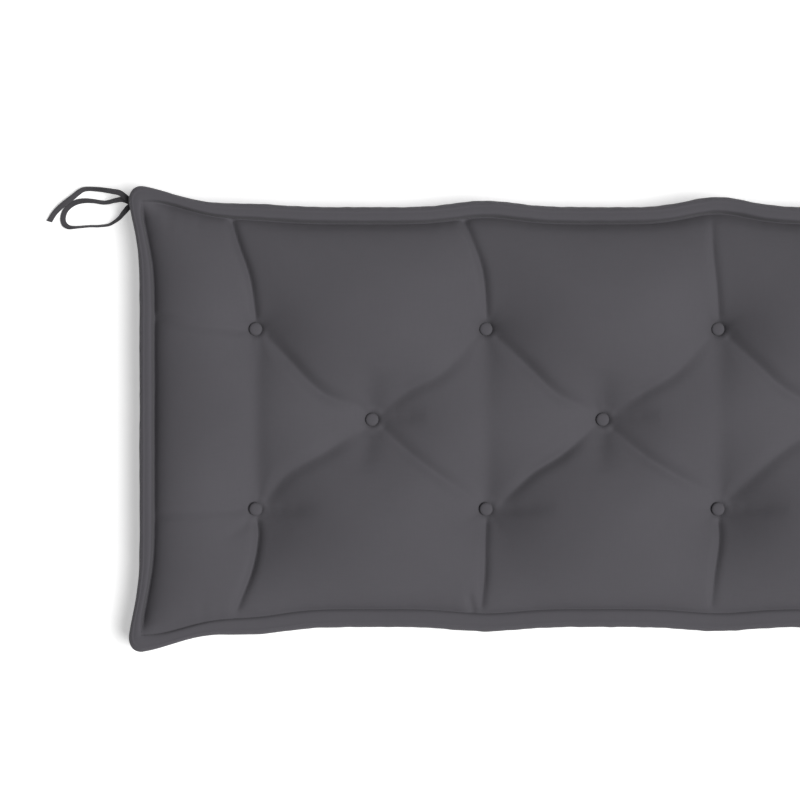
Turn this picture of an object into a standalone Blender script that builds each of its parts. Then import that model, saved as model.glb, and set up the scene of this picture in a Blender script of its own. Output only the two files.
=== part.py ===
"""Bench cushion: a button-tufted pad with stitched rolled edges, and a tie at each back corner.

Metres, +Z up. The cushion lies on its back: its underside is flat at z = 0, its length runs
along X and its tied edge is at +Y. The origin is on the surface, under the middle of the pad.
"""

import math

import bpy
import numpy as np

# --- Driving dimensions ------------------------------------------------------------------------

HALF_LENGTH = 0.4938          # middle of the pad to the middle of an end edge
BACK_HALF_DEPTH = 0.2265      # middle of the pad to the back edge, between two columns
FRONT_HALF_DEPTH = 0.2215
CORNER_RADIUS = 0.014
ROLL_HEIGHT = 0.052           # top of the upper roll above the surface
ROLL_RADIUS = 0.0085          # half the height of a roll
STRIP_DRAW = 0.62             # how far the side strip is drawn in, as a share of a roll's width
CORNER_PINCH = 0.005          # how much lower the upper roll lies at a corner's tip
CORNER_PINCH_REACH = 0.055
COLUMN_DIP = 0.0022           # how much lower the upper roll lies beside a column of tufts
COLUMN_DIP_REACH = 0.050
CORNER_GROOVE = 0.0010        # depth to which the stitched grooves run out at a corner
RIM_WALL = 0.50               # share of a groove's depth that the cover stands up right beside it
RIM_WALL_REACH = 0.0042
FREE_HEIGHT = 0.1220          # height to which the filling would rise with no tuft near
TUFT_REACH = 0.080            # distance over which a tuft or a seam holds the cloth down
SEAT_HEIGHT = 0.0415          # flat under a button, above the surface
SEAT_RADIUS = 0.0112
SEAT_FIRMNESS = 0.0015        # distance within which a button's pull overrides the filling's
PIT_DEPTH = 0.0035            # how far a button is drawn in below the cover right round it
PIT_REACH = 0.0024
CONE_SLOPE = 0.24             # how much steeper the cover falls to a tuft than a stretched film
CONE_REACH = 0.050
FRONT_CONE = 1.3              # the front row's cones against the others
CREASE_BEND = 150.0           # change of the cover's slope across a crease, for each metre of its depth
CREASE_BEND_WIDTH = 0.0040
CREASE_REACH = 0.0060         # distance from a crease over which its sides rise
CREASE_ROUNDING = 0.0015      # of the bottom of a crease
CREASE_CLEARANCE = 0.0095     # from a tuft's middle to where a crease starts
VALLEY_BEND = 0.60            # change of slope across the valley between a column's tufts
VALLEY_BEND_WIDTH = 0.0080
VALLEY_DEPTH = 0.0014
VALLEY_REACH = 0.012
UNDER_TUFT_DEPTH = 0.010      # how far a tuft draws the underside up
UNDER_TUFT_RADIUS = 0.045
UNDER_GROOVE_DEPTH = 0.003
UNDER_GROOVE_WIDTH = 0.016
GAP = 0.0003                  # left between two pieces that touch

BUTTON_RADIUS = 0.0070
BUTTON_HEIGHT = 0.0054
BUTTON_SIDES = 20

TAPE_WIDTH = 0.0068
TAPE_THICKNESS = 0.0016
TAPE_STEP = 0.0045            # spacing of a tape's sections

CELL = 0.004                  # grid that the cover is worked out on
PAD_TRIANGLES = 9600
ROLL_TURN = 60                # degrees below level at which the upper roll meets the side strip
ROLL_STEP = 24                # degrees between two points of a roll's section
STRIP_STEPS = 4
CURVE_STEPS = 6               # points to each span of a crease or a tape's route
SWEEPS = 400                  # passes in which the cloth settles
OVERSHOOT = 1.92              # of each pass, so that it settles sooner

# Each edge: its roll's width, how far the corners flare out past it and from what distance, and
# the depth of its stitched groove and the distance from the corner over which it deepens.
EDGES = {
    "back": {"roll": 0.0175, "flare": 0.0240, "flare_reach": 0.060, "groove": 0.0100, "groove_start": 0.030},
    "front": {"roll": 0.0195, "flare": 0.0280, "flare_reach": 0.064, "groove": 0.0018, "groove_start": 0.030},
    "end": {"roll": 0.0155, "flare": 0.0130, "flare_reach": 0.042, "groove": 0.0120, "groove_start": 0.016},
}

# Each column of tufts: its place, how far the back and front edges bulge out beside it, and how
# sharp the valley between its tufts is half-way, against its ends.
COLUMNS = (
    {"x": -0.3700, "back_bulge": 0.0035, "front_bulge": 0.0075, "valley": 1.0},
    {"x": -0.1243, "back_bulge": 0.0070, "front_bulge": 0.0048, "valley": 0.4},
    {"x": 0.1230, "back_bulge": 0.0110, "front_bulge": 0.0046, "valley": 0.3},
    {"x": 0.3700, "back_bulge": 0.0035, "front_bulge": 0.0075, "valley": 1.0},
)
BULGE_REACH = 0.045
ROW_BACK_Y = 0.0965
ROW_FRONT_Y = -0.0955
MIDDLE_XS = (-0.2459, 0.0, 0.2459)

# Each crease: four points that it runs through, and its depth at each of them. A row marked
# "both_ends" is made again, mirrored, at the pad's other end.
CREASES = (
    # end column, from the back seam to its tuft, and from the front tuft to the front seam
    {"points": ((-0.3950, 0.2100), (-0.3875, 0.1860), (-0.3752, 0.1500), (-0.3693, 0.1060)),
     "depths": (0.0052, 0.0052, 0.0050, 0.0034), "both_ends": True},
    {"points": ((-0.3690, -0.1060), (-0.3668, -0.1260), (-0.3728, -0.1600), (-0.3885, -0.2000)),
     "depths": (0.0042, 0.0046, 0.0052, 0.0028), "both_ends": True},
    # inner columns, likewise
    {"points": ((-0.1470, 0.2100), (-0.1384, 0.1900), (-0.1274, 0.1550), (-0.1232, 0.1060)),
     "depths": (0.0042, 0.0036, 0.0042, 0.0028), "both_ends": False},
    {"points": ((-0.1240, -0.1050), (-0.1250, -0.1350), (-0.1257, -0.1650), (-0.1290, -0.1980)),
     "depths": (0.0030, 0.0032, 0.0037, 0.0024), "both_ends": False},
    {"points": ((0.1168, 0.2080), (0.1170, 0.1800), (0.1208, 0.1400), (0.1240, 0.1060)),
     "depths": (0.0012, 0.0022, 0.0026, 0.0024), "both_ends": False},
    {"points": ((0.1230, -0.1050), (0.1240, -0.1300), (0.1188, -0.1650), (0.1160, -0.1960)),
     "depths": (0.0032, 0.0038, 0.0030, 0.0016), "both_ends": False},
    # from the end columns to the outer middle tufts
    {"points": ((-0.3600, 0.0920), (-0.3342, 0.0656), (-0.2978, 0.0296), (-0.2560, 0.0135)),
     "depths": (0.0032, 0.0040, 0.0038, 0.0008), "both_ends": True},
    {"points": ((-0.2560, -0.0100), (-0.2905, -0.0342), (-0.3340, -0.0600), (-0.3600, -0.0900)),
     "depths": (0.0014, 0.0030, 0.0027, 0.0018), "both_ends": True},
    # from the left middle tuft to the second column
    {"points": ((-0.2360, 0.0080), (-0.2052, 0.0294), (-0.1690, 0.0485), (-0.1370, 0.0842)),
     "depths": (0.0030, 0.0035, 0.0028, 0.0012), "both_ends": False},
    {"points": ((-0.2360, -0.0080), (-0.2065, -0.0334), (-0.1705, -0.0608), (-0.1422, -0.0805)),
     "depths": (0.0038, 0.0033, 0.0028, 0.0008), "both_ends": False},
    # from the second column to the centre tuft
    {"points": ((-0.1140, 0.0895), (-0.0793, 0.0574), (-0.0476, 0.0278), (-0.0115, 0.0110)),
     "depths": (0.0032, 0.0041, 0.0031, 0.0008), "both_ends": False},
    {"points": ((-0.0115, -0.0100), (-0.0425, -0.0390), (-0.0738, -0.0588), (-0.1060, -0.0872)),
     "depths": (0.0014, 0.0042, 0.0034, 0.0016), "both_ends": False},
    # from the centre tuft to the third column
    {"points": ((0.0100, 0.0065), (0.0436, 0.0272), (0.0786, 0.0484), (0.1095, 0.0840)),
     "depths": (0.0026, 0.0038, 0.0032, 0.0018), "both_ends": False},
    {"points": ((0.0100, -0.0100), (0.0446, -0.0376), (0.0793, -0.0588), (0.1055, -0.0735)),
     "depths": (0.0034, 0.0035, 0.0028, 0.0012), "both_ends": False},
    # from the third column to the right middle tuft
    {"points": ((0.1340, 0.0870), (0.1640, 0.0602), (0.1930, 0.0336), (0.2360, 0.0100)),
     "depths": (0.0028, 0.0036, 0.0035, 0.0018), "both_ends": False},
    {"points": ((0.1340, -0.0860), (0.1642, -0.0586), (0.1992, -0.0296), (0.2360, -0.0100)),
     "depths": (0.0020, 0.0028, 0.0030, 0.0016), "both_ends": False},
)

# Each tie tail on the left corner: its route from the corner seam and the turn of its width
# out of level at each point, in degrees. The right corner has the same tails, mirrored.
TIE_TAILS = {
    "long": (
        {"at": (-0.4982, 0.2322, 0.0275), "turn": 0},
        {"at": (-0.5035, 0.2325, 0.0277), "turn": 0},
        {"at": (-0.5095, 0.2378, 0.0275), "turn": 0},
        {"at": (-0.5158, 0.2422, 0.0256), "turn": 10},
        {"at": (-0.5230, 0.2435, 0.0208), "turn": 25},
        {"at": (-0.5330, 0.2448, 0.0125), "turn": 40},
        {"at": (-0.5420, 0.2456, 0.0062), "turn": 46},
        {"at": (-0.5490, 0.2458, 0.0046), "turn": 44},
        {"at": (-0.5557, 0.2441, 0.0042), "turn": 34},
        {"at": (-0.5646, 0.2372, 0.0047), "turn": 16},
        {"at": (-0.5751, 0.2292, 0.0048), "turn": 6},
        {"at": (-0.5839, 0.2205, 0.0030), "turn": 12},
        {"at": (-0.5900, 0.2110, 0.0019), "turn": 10},
    ),
    "loop": (
        {"at": (-0.4976, 0.2312, 0.0242), "turn": 0},
        {"at": (-0.5030, 0.2315, 0.0242), "turn": 0},
        {"at": (-0.5085, 0.2342, 0.0236), "turn": -6},
        {"at": (-0.5140, 0.2353, 0.0214), "turn": -18},
        {"at": (-0.5205, 0.2338, 0.0162), "turn": -34},
        {"at": (-0.5310, 0.2312, 0.0085), "turn": -48},
        {"at": (-0.5433, 0.2328, 0.0044), "turn": -46},
        {"at": (-0.5550, 0.2330, 0.0030), "turn": -26},
        {"at": (-0.5646, 0.2300, 0.0014), "turn": -6},
        {"at": (-0.5722, 0.2235, 0.0013), "turn": 0},
        {"at": (-0.5752, 0.2155, 0.0013), "turn": 0},
        {"at": (-0.5742, 0.2090, 0.0021), "turn": 14},
        {"at": (-0.5695, 0.2052, 0.0036), "turn": 44},
        {"at": (-0.5618, 0.2048, 0.0046), "turn": 68},
        {"at": (-0.5486, 0.2059, 0.0047), "turn": 74},
        {"at": (-0.5353, 0.2063, 0.0048), "turn": 72},
        {"at": (-0.5264, 0.2085, 0.0062), "turn": 66},
        {"at": (-0.5177, 0.2148, 0.0118), "turn": 50},
        {"at": (-0.5116, 0.2222, 0.0180), "turn": 24},
        {"at": (-0.5062, 0.2282, 0.0206), "turn": 4},
        {"at": (-0.4991, 0.2287, 0.0208), "turn": 0},
    ),
}

CLOTH_COLOUR = (0.094, 0.090, 0.101, 1.0)
TAPE_COLOUR = (0.072, 0.069, 0.076, 1.0)
CLOTH_ROUGHNESS = 0.9


# --- Helpers -----------------------------------------------------------------------------------

def clear_scene():
    """Remove every object that the opened file holds."""
    for old in list(bpy.data.objects):
        bpy.data.objects.remove(old, do_unlink=True)


def cloth_material(name, colour):
    """A plain matt cloth."""
    material = bpy.data.materials.new(name)
    material.use_nodes = True
    shader = material.node_tree.nodes["Principled BSDF"]
    shader.inputs["Base Color"].default_value = colour
    shader.inputs["Roughness"].default_value = CLOTH_ROUGHNESS
    shader.inputs["Metallic"].default_value = 0.0
    material.diffuse_color = colour
    return material


def add_object(name, points, faces, material):
    """Make a mesh object from its points and faces, shaded smooth."""
    mesh = bpy.data.meshes.new(name)
    mesh.from_pydata([tuple(point) for point in points], [], faces)
    mesh.validate()
    mesh.shade_smooth()
    mesh.materials.append(material)
    made = bpy.data.objects.new(name, mesh)
    bpy.context.scene.collection.objects.link(made)
    return made


def smooth_curve(points, steps):
    """Points along a Catmull-Rom curve through the given ones, `steps` to each span."""
    through = np.asarray(points, dtype=float)
    before = 2.0 * through[0] - through[1]
    after = 2.0 * through[-1] - through[-2]
    knots = np.vstack([before, through, after])
    curve = []
    for span in range(len(through) - 1):
        a, b, c, d = knots[span:span + 4]
        for step in range(steps):
            t = step / steps
            curve.append(0.5 * (2.0 * b + (c - a) * t + (2.0 * a - 5.0 * b + 4.0 * c - d) * t ** 2
                                + (3.0 * b - a - 3.0 * c + d) * t ** 3))
    curve.append(through[-1])
    return np.array(curve)


def evenly_spaced(curve, spacing):
    """The same curve with its points about `spacing` apart. Its first three columns are its place."""
    lengths = np.linalg.norm(np.diff(curve[:, :3], axis=0), axis=1)
    along = np.concatenate([[0.0], np.cumsum(lengths)])
    count = max(2, int(round(along[-1] / spacing)) + 1)
    stops = np.linspace(0.0, along[-1], count)
    return np.column_stack([np.interp(stops, along, curve[:, axis]) for axis in range(curve.shape[1])])


# --- Pad: its outline --------------------------------------------------------------------------

FLARE_FALL_Y = 3              # powers by which the flares and bulges fade towards the middle
FLARE_FALL_X = 6


def flare(distance, edge):
    """How far an edge stands out at a distance from the corner."""
    return edge["flare"] * np.exp(-(distance / edge["flare_reach"]) ** 2)


def bulges(x, key):
    """How far the back or front edge stands out beside the columns of tufts."""
    return sum(column[key] * np.exp(-((x - column["x"]) / BULGE_REACH) ** 2) for column in COLUMNS)


def plan(u, v, inset):
    """Place in plan of a point of the cover.

    u and v run from 0 to 1 across the rectangle that is `inset` roll widths inside the outline.
    """
    half = HALF_LENGTH - inset * EDGES["end"]["roll"]
    back = BACK_HALF_DEPTH - inset * EDGES["back"]["roll"]
    front = FRONT_HALF_DEPTH - inset * EDGES["front"]["roll"]
    x = half * (2.0 * u - 1.0)
    y = back * v - front * (1.0 - v)

    radius = CORNER_RADIUS * max(0.0, 1.0 - inset)
    if radius > 0.0:
        middle = 0.5 * (back - front)
        centre_x = half - radius
        centre_y = 0.5 * (back + front) - radius
        over_x = np.maximum(np.abs(x) - centre_x, 0.0)
        over_y = np.maximum(np.abs(y - middle) - centre_y, 0.0)
        reach = np.hypot(over_x, over_y)
        in_corner = (over_x > 0.0) & (over_y > 0.0)
        shrink = np.where(in_corner, np.maximum(over_x, over_y) / np.maximum(reach, 1e-9), 1.0)
        x = np.where(in_corner, np.sign(x) * (centre_x + over_x * shrink), x)
        y = np.where(in_corner, middle + np.sign(y - middle) * (centre_y + over_y * shrink), y)

    to_end = half - np.abs(x)
    to_side = np.minimum(back - y, y + front)
    weight_y = np.clip(np.where(y > 0.0, y / back, -y / front), 0.0, 1.0) ** FLARE_FALL_Y
    weight_x = (np.abs(x) / half) ** FLARE_FALL_X
    out_back = flare(to_end, EDGES["back"]) + bulges(x, "back_bulge")
    out_front = flare(to_end, EDGES["front"]) + bulges(x, "front_bulge")
    out_end = flare(to_side, EDGES["end"])
    return (x + np.sign(x) * weight_x * out_end,
            y + weight_y * np.where(y > 0.0, out_back, -out_front))


def rim_drop(x, y):
    """How far the upper roll is drawn down at a place near the pad's edge."""
    to_end = np.maximum(HALF_LENGTH - np.abs(x), 0.0)
    to_side = np.maximum(np.where(y > 0.0, BACK_HALF_DEPTH - y, FRONT_HALF_DEPTH + y), 0.0)
    drop = CORNER_PINCH * np.exp(-(np.hypot(to_end, to_side) / CORNER_PINCH_REACH) ** 2)
    beside = np.exp(-(to_side / COLUMN_DIP_REACH) ** 2)
    for column in COLUMNS:
        drop = drop + beside * COLUMN_DIP * np.exp(-((x - column["x"]) / COLUMN_DIP_REACH) ** 2)
    return drop


# --- Pad: its height ---------------------------------------------------------------------------

def tuft_places():
    """Every tuft's name and place in plan."""
    places = []
    for number, column in enumerate(COLUMNS, start=1):
        places.append((f"back_{number}", column["x"], ROW_BACK_Y))
        places.append((f"front_{number}", column["x"], ROW_FRONT_Y))
    for number, x in enumerate(MIDDLE_XS, start=1):
        places.append((f"middle_{number}", x, 0.0))
    return places


def to_tuft(x, y):
    """Distance of each place in plan from the nearest tuft."""
    return np.minimum.reduce([np.hypot(x - tuft_x, y - tuft_y) for _, tuft_x, tuft_y in tuft_places()])


def eased(share):
    """A share from 0 to 1 with a soft start and end."""
    held = np.clip(share, 0.0, 1.0)
    return held * held * (3.0 - 2.0 * held)


def near_creases(x, y):
    """For every crease, the places' distance from it and its depth where it is nearest to them."""
    found = []
    for crease in CREASES:
        for side in (1.0, -1.0) if crease["both_ends"] else (1.0,):
            curve = smooth_curve([(side * across, along) for across, along in crease["points"]], CURVE_STEPS)
            stations = np.linspace(0.0, len(crease["points"]) - 1.0, len(curve))
            depths = np.interp(stations, np.arange(len(crease["depths"])), crease["depths"])
            found.append(nearest_on(curve, depths, x, y))
    return found


def near_valleys(x, y):
    """For every column, the places' distance from its valley and how sharp it is there."""
    found = []
    for column in COLUMNS:
        line = np.array([(column["x"], ROW_BACK_Y), (column["x"], 0.0), (column["x"], ROW_FRONT_Y)])
        found.append(nearest_on(line, (1.0, column["valley"], 1.0), x, y))
    return found


def nearest_on(curve, values, x, y):
    """Distance of each plan point from a curve, and the curve's value where it is nearest."""
    nearest = np.full(x.shape, np.inf)
    value = np.zeros(x.shape)
    for start, end, first, last in zip(curve[:-1], curve[1:], values[:-1], values[1:]):
        run = end - start
        share = np.clip(((x - start[0]) * run[0] + (y - start[1]) * run[1]) / (run @ run), 0.0, 1.0)
        distance = np.hypot(x - start[0] - share * run[0], y - start[1] - share * run[1])
        closer = distance < nearest
        nearest = np.where(closer, distance, nearest)
        value = np.where(closer, first + share * (last - first), value)
    return nearest, value


def off_tufts(x, y):
    """How far creases have come up at each place: 0 on a tuft, 1 a little way out from it."""
    return eased(to_tuft(x, y) / CREASE_CLEARANCE - 1.0)


def bend(x, y):
    """How sharply creases, valleys and tufts bend the cover, as change of slope for each metre."""
    total = np.zeros(x.shape)
    lines = [(distance, CREASE_BEND * depth, CREASE_BEND_WIDTH) for distance, depth in near_creases(x, y)]
    lines += [(distance, VALLEY_BEND * share, VALLEY_BEND_WIDTH) for distance, share in near_valleys(x, y)]
    for distance, change, width in lines:
        total = np.maximum(total, change * np.exp(-(distance / width) ** 2) / (width * math.sqrt(math.pi)))
    nearest = to_tuft(x, y)
    steepness = CONE_SLOPE * (1.0 + (FRONT_CONE - 1.0) * eased(y / ROW_FRONT_Y))
    cone = steepness * np.exp(-(nearest / CONE_REACH) ** 2) / np.maximum(nearest, SEAT_RADIUS)
    return total * off_tufts(x, y) + cone


def settle(height, pull, aim, bent, step_x, step_y):
    """The height at which cloth settles inside a fixed edge.

    Each point is drawn to its `aim`, as firmly as its `pull` says, and to its neighbours' height,
    and is pressed down where the cover is `bent`.
    """
    rows, columns = np.indices(height.shape)
    sides = 1.0 / step_x ** 2
    ends = 1.0 / step_y ** 2
    divisor = 2.0 * (sides + ends) + pull
    inside = np.zeros(height.shape, dtype=bool)
    inside[1:-1, 1:-1] = True
    for _ in range(SWEEPS):
        for colour in (0, 1):
            around = np.zeros(height.shape)
            around[1:-1, 1:-1] = (sides * (height[1:-1, 2:] + height[1:-1, :-2])
                                  + ends * (height[2:, 1:-1] + height[:-2, 1:-1]))
            target = (around + pull * aim - bent) / divisor
            chosen = inside & ((rows + columns) % 2 == colour)
            height = np.where(chosen, height + OVERSHOOT * (target - height), height)
    return height


def crease_depths(x, y):
    """How deep the creases and valleys are at every grid point, close to their middle lines."""
    deepest = np.zeros(x.shape)
    for distance, depth in near_creases(x, y):
        off_line = np.hypot(distance, CREASE_ROUNDING) - CREASE_ROUNDING
        deepest = np.maximum(deepest, depth * np.exp(-off_line / CREASE_REACH))
    for distance, share in near_valleys(x, y):
        deepest = np.maximum(deepest, VALLEY_DEPTH * share * np.exp(-(distance / VALLEY_REACH) ** 2))
    return deepest * off_tufts(x, y)


def to_rim(u, v):
    """Distance of the top panel's points from its nearer end and from its nearer side."""
    return (np.minimum(u, 1.0 - u) * 2.0 * HALF_LENGTH,
            np.minimum(v, 1.0 - v) * (BACK_HALF_DEPTH + FRONT_HALF_DEPTH))


def groove_depths(to_end, to_side, v):
    """Depth of the nearer end's groove and of the nearer side's groove, below the roll's top."""
    back, front, end = EDGES["back"], EDGES["front"], EDGES["end"]
    beside_back = back["groove"] * eased(to_end / back["groove_start"])
    beside_front = front["groove"] * eased(to_end / front["groove_start"])
    return end["groove"] * eased(to_side / end["groove_start"]), np.where(v > 0.5, beside_back, beside_front)


def rim_groove(u, v):
    """Depth of the stitched groove at the top panel's rim; it fades at the corners."""
    to_end, to_side = to_rim(u, v)
    beside_end, beside_side = groove_depths(to_end, to_side, v)
    return CORNER_GROOVE + np.where(to_end < to_side, beside_end, beside_side)


def rim_wall(u, v):
    """How much lower than the settled cover its edge is drawn down into the groove."""
    to_end, to_side = to_rim(u, v)
    beside_end, beside_side = groove_depths(to_end, to_side, v)
    return RIM_WALL * np.maximum(beside_end * np.exp(-to_end / RIM_WALL_REACH),
                                 beside_side * np.exp(-to_side / RIM_WALL_REACH))


def top_heights(u, v, x, y):
    """Height of the top panel at every grid point, inside the stitched groove."""
    step_x = (x[0, -1] - x[0, 0]) / (x.shape[1] - 1)
    step_y = (y[-1, 0] - y[0, 0]) / (y.shape[0] - 1)
    seats = to_tuft(x, y) < SEAT_RADIUS
    pull = np.where(seats, 1.0 / SEAT_FIRMNESS ** 2, 1.0 / TUFT_REACH ** 2)
    aim = np.where(seats, SEAT_HEIGHT + PIT_DEPTH, FREE_HEIGHT)
    wall = rim_wall(u, v)
    edge = ROLL_HEIGHT - rim_groove(u, v) - rim_drop(x, y) + wall
    height = settle(edge, pull, aim, bend(x, y), step_x, step_y) - wall
    pits = PIT_DEPTH * np.exp(-np.maximum(to_tuft(x, y) - SEAT_RADIUS, 0.0) / PIT_REACH)
    height[1:-1, 1:-1] -= (crease_depths(x, y) + pits)[1:-1, 1:-1]
    height[seats] = SEAT_HEIGHT
    return height


def underside_heights(x, y, from_groove):
    """Height of the bottom panel: flat on the surface but for its tufts and its stitched groove."""
    height = UNDER_GROOVE_DEPTH * np.clip(1.0 - from_groove / UNDER_GROOVE_WIDTH, 0.0, 1.0) ** 2
    for _, tuft_x, tuft_y in tuft_places():
        distance = np.hypot(x - tuft_x, y - tuft_y)
        height = height + UNDER_TUFT_DEPTH * np.clip(1.0 - distance / UNDER_TUFT_RADIUS, 0.0, 1.0) ** 2
    return height


# --- Pad: its mesh -----------------------------------------------------------------------------

def roll_point(degrees, centre):
    """A point of a roll's section: its inset in roll widths and its height."""
    angle = math.radians(degrees)
    return 0.5 - 0.5 * math.cos(angle), centre + ROLL_RADIUS * math.sin(angle)


def rim_profile(groove):
    """The pad's edge in section, from the top groove out and down to the bottom groove.

    Each entry is an inset in roll widths and a height, which differs round the pad on the inner
    side of the upper roll, where `groove` is the depth of the stitched groove.
    """
    upper = []
    for degrees in range(180, -ROLL_TURN - 1, -ROLL_STEP):
        inset, height = roll_point(degrees, ROLL_HEIGHT - ROLL_RADIUS)
        if degrees > 90:
            height = ROLL_HEIGHT - groove * (ROLL_HEIGHT - height) / ROLL_RADIUS
        upper.append((inset, height))
    lower = [roll_point(degrees, ROLL_RADIUS) for degrees in range(ROLL_TURN, -ROLL_TURN - 1, -ROLL_STEP)]
    seam_inset, strip_top = upper[-1]
    strip_bottom = lower[0][1]
    strip = []
    for step in range(1, STRIP_STEPS):
        share = step / STRIP_STEPS
        inset = seam_inset + (STRIP_DRAW - seam_inset) * math.sin(math.pi * share)
        strip.append((inset, strip_top + (strip_bottom - strip_top) * share))
    sole = [(0.5, 0.0), (1.0, UNDER_GROOVE_DEPTH)]
    return upper + strip + lower + sole


def around(columns, rows):
    """Grid points round the edge of a grid, counter-clockwise from above."""
    front = [(0, column) for column in range(columns)]
    right = [(row, columns) for row in range(rows)]
    back = [(rows, column) for column in range(columns, 0, -1)]
    left = [(row, 0) for row in range(rows, 0, -1)]
    return front + right + back + left


def build_pad(material):
    """The filled pad as one closed body: top panel, rolls, side strip and bottom panel."""
    columns = int(round(2.0 * HALF_LENGTH / CELL))
    rows = int(round((BACK_HALF_DEPTH + FRONT_HALF_DEPTH) / CELL))
    v, u = np.meshgrid(np.linspace(0.0, 1.0, rows + 1), np.linspace(0.0, 1.0, columns + 1), indexing="ij")
    panel_x, panel_y = plan(u, v, 1.0)
    edge = around(columns, rows)
    edge_u = np.array([column / columns for _, column in edge])
    edge_v = np.array([row / rows for row, _ in edge])
    profile = rim_profile(rim_groove(edge_u, edge_v))

    top = top_heights(u, v, panel_x, panel_y)
    under = underside_heights(panel_x, panel_y, np.minimum(*to_rim(u, v)))

    points = [np.column_stack([panel_x.ravel(), panel_y.ravel(), top.ravel()]),
              np.column_stack([panel_x.ravel(), panel_y.ravel(), under.ravel()])]
    panel_size = (columns + 1) * (rows + 1)
    for inset, height in profile[1:-1]:
        ring_x, ring_y = plan(edge_u, edge_v, inset)
        ring_z = height - rim_drop(ring_x, ring_y) * (height / ROLL_HEIGHT) ** 2
        points.append(np.column_stack([ring_x, ring_y, ring_z]))
    points = np.vstack(points)

    faces = []
    for row in range(rows):
        for column in range(columns):
            corner = row * (columns + 1) + column
            above = corner + columns + 1
            faces.append((corner, corner + 1, above + 1, above))
            below = panel_size + corner
            faces.append((below, panel_size + above, panel_size + above + 1, below + 1))

    top_ring = [row * (columns + 1) + column for row, column in edge]
    rings = [top_ring]
    for ring in range(len(profile) - 2):
        first = 2 * panel_size + ring * len(edge)
        rings.append(list(range(first, first + len(edge))))
    rings.append([panel_size + index for index in top_ring])
    for inner, outer in zip(rings[:-1], rings[1:]):
        for place in range(len(edge)):
            following = (place + 1) % len(edge)
            faces.append((inner[place], outer[place], outer[following], inner[following]))

    pad = add_object("pad", points, faces, material)
    near_tuft = to_tuft(panel_x, panel_y).ravel() < SEAT_RADIUS + CELL
    thinned = pad.vertex_groups.new(name="thinned")
    thinned.add([index for index in range(len(points)) if index >= panel_size or not near_tuft[index]],
                1.0, "REPLACE")
    thin = pad.modifiers.new("thin_out", "DECIMATE")
    thin.decimate_type = "COLLAPSE"
    thin.ratio = PAD_TRIANGLES / (2 * len(faces))
    thin.vertex_group = thinned.name
    return pad


# --- Buttons -----------------------------------------------------------------------------------

def button_mesh(material):
    """A domed, cloth-covered button as a turned body, its flat back at z = 0."""
    profile = [(0.50, 0.0), (0.86, 0.12), (1.0, 0.34), (0.95, 0.58), (0.76, 0.81), (0.44, 0.95)]
    points = []
    for radius, height in profile:
        for side in range(BUTTON_SIDES):
            angle = 2.0 * math.pi * side / BUTTON_SIDES
            points.append((BUTTON_RADIUS * radius * math.cos(angle),
                           BUTTON_RADIUS * radius * math.sin(angle), BUTTON_HEIGHT * height))
    points.append((0.0, 0.0, BUTTON_HEIGHT))
    faces = [tuple(reversed(range(BUTTON_SIDES)))]
    for ring in range(len(profile) - 1):
        for side in range(BUTTON_SIDES):
            following = (side + 1) % BUTTON_SIDES
            low = ring * BUTTON_SIDES
            high = low + BUTTON_SIDES
            faces.append((low + side, low + following, high + following, high + side))
    last = (len(profile) - 1) * BUTTON_SIDES
    for side in range(BUTTON_SIDES):
        faces.append((last + side, last + (side + 1) % BUTTON_SIDES, len(points) - 1))
    mesh = bpy.data.meshes.new("button")
    mesh.from_pydata(points, [], faces)
    mesh.shade_smooth()
    mesh.materials.append(material)
    return mesh


def build_buttons(material):
    """One button on the seat of every tuft."""
    mesh = button_mesh(material)
    for name, x, y in tuft_places():
        button = bpy.data.objects.new(f"button_{name}", mesh)
        button.location = (x, y, SEAT_HEIGHT + GAP)
        bpy.context.scene.collection.objects.link(button)


# --- Ties --------------------------------------------------------------------------------------

def build_tie(name, tail, mirrored, material):
    """A flat tape of oblong section along its route, closed at both ends."""
    side = -1.0 if mirrored else 1.0
    route = [(side * stop["at"][0], stop["at"][1], stop["at"][2], side * stop["turn"]) for stop in tail]
    path = evenly_spaced(smooth_curve(route, CURVE_STEPS), TAPE_STEP)
    points = []
    for index, (x, y, z, turn) in enumerate(path):
        ahead = path[min(index + 1, len(path) - 1), :3] - path[max(index - 1, 0), :3]
        ahead = ahead / np.linalg.norm(ahead)
        level = np.cross(ahead, (0.0, 0.0, 1.0))
        level = level / np.linalg.norm(level)
        rise = np.cross(level, ahead)
        angle = math.radians(turn)
        wide = 0.5 * TAPE_WIDTH * (math.cos(angle) * level + math.sin(angle) * rise)
        thick = 0.5 * TAPE_THICKNESS * (math.cos(angle) * rise - math.sin(angle) * level)
        centre = np.array((x, y, z))
        points += [centre + wide + thick, centre - wide + thick,
                   centre - wide - thick, centre + wide - thick]
    faces = [(0, 1, 2, 3)]
    for index in range(len(path) - 1):
        near = 4 * index
        for corner in range(4):
            following = (corner + 1) % 4
            faces.append((near + corner, near + corner + 4, near + following + 4, near + following))
    last = 4 * (len(path) - 1)
    faces.append((last + 3, last + 2, last + 1, last))
    return add_object(name, points, faces, material)


# --- The cushion -------------------------------------------------------------------------------

def main():
    """Build every piece of the cushion."""
    clear_scene()
    cloth = cloth_material("cover_cloth", CLOTH_COLOUR)
    tape = cloth_material("tie_tape", TAPE_COLOUR)
    build_pad(cloth)
    build_buttons(cloth)
    for tail_name, tail in TIE_TAILS.items():
        build_tie(f"tie_left_{tail_name}", tail, False, tape)
        build_tie(f"tie_right_{tail_name}", tail, True, tape)


main()
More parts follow.
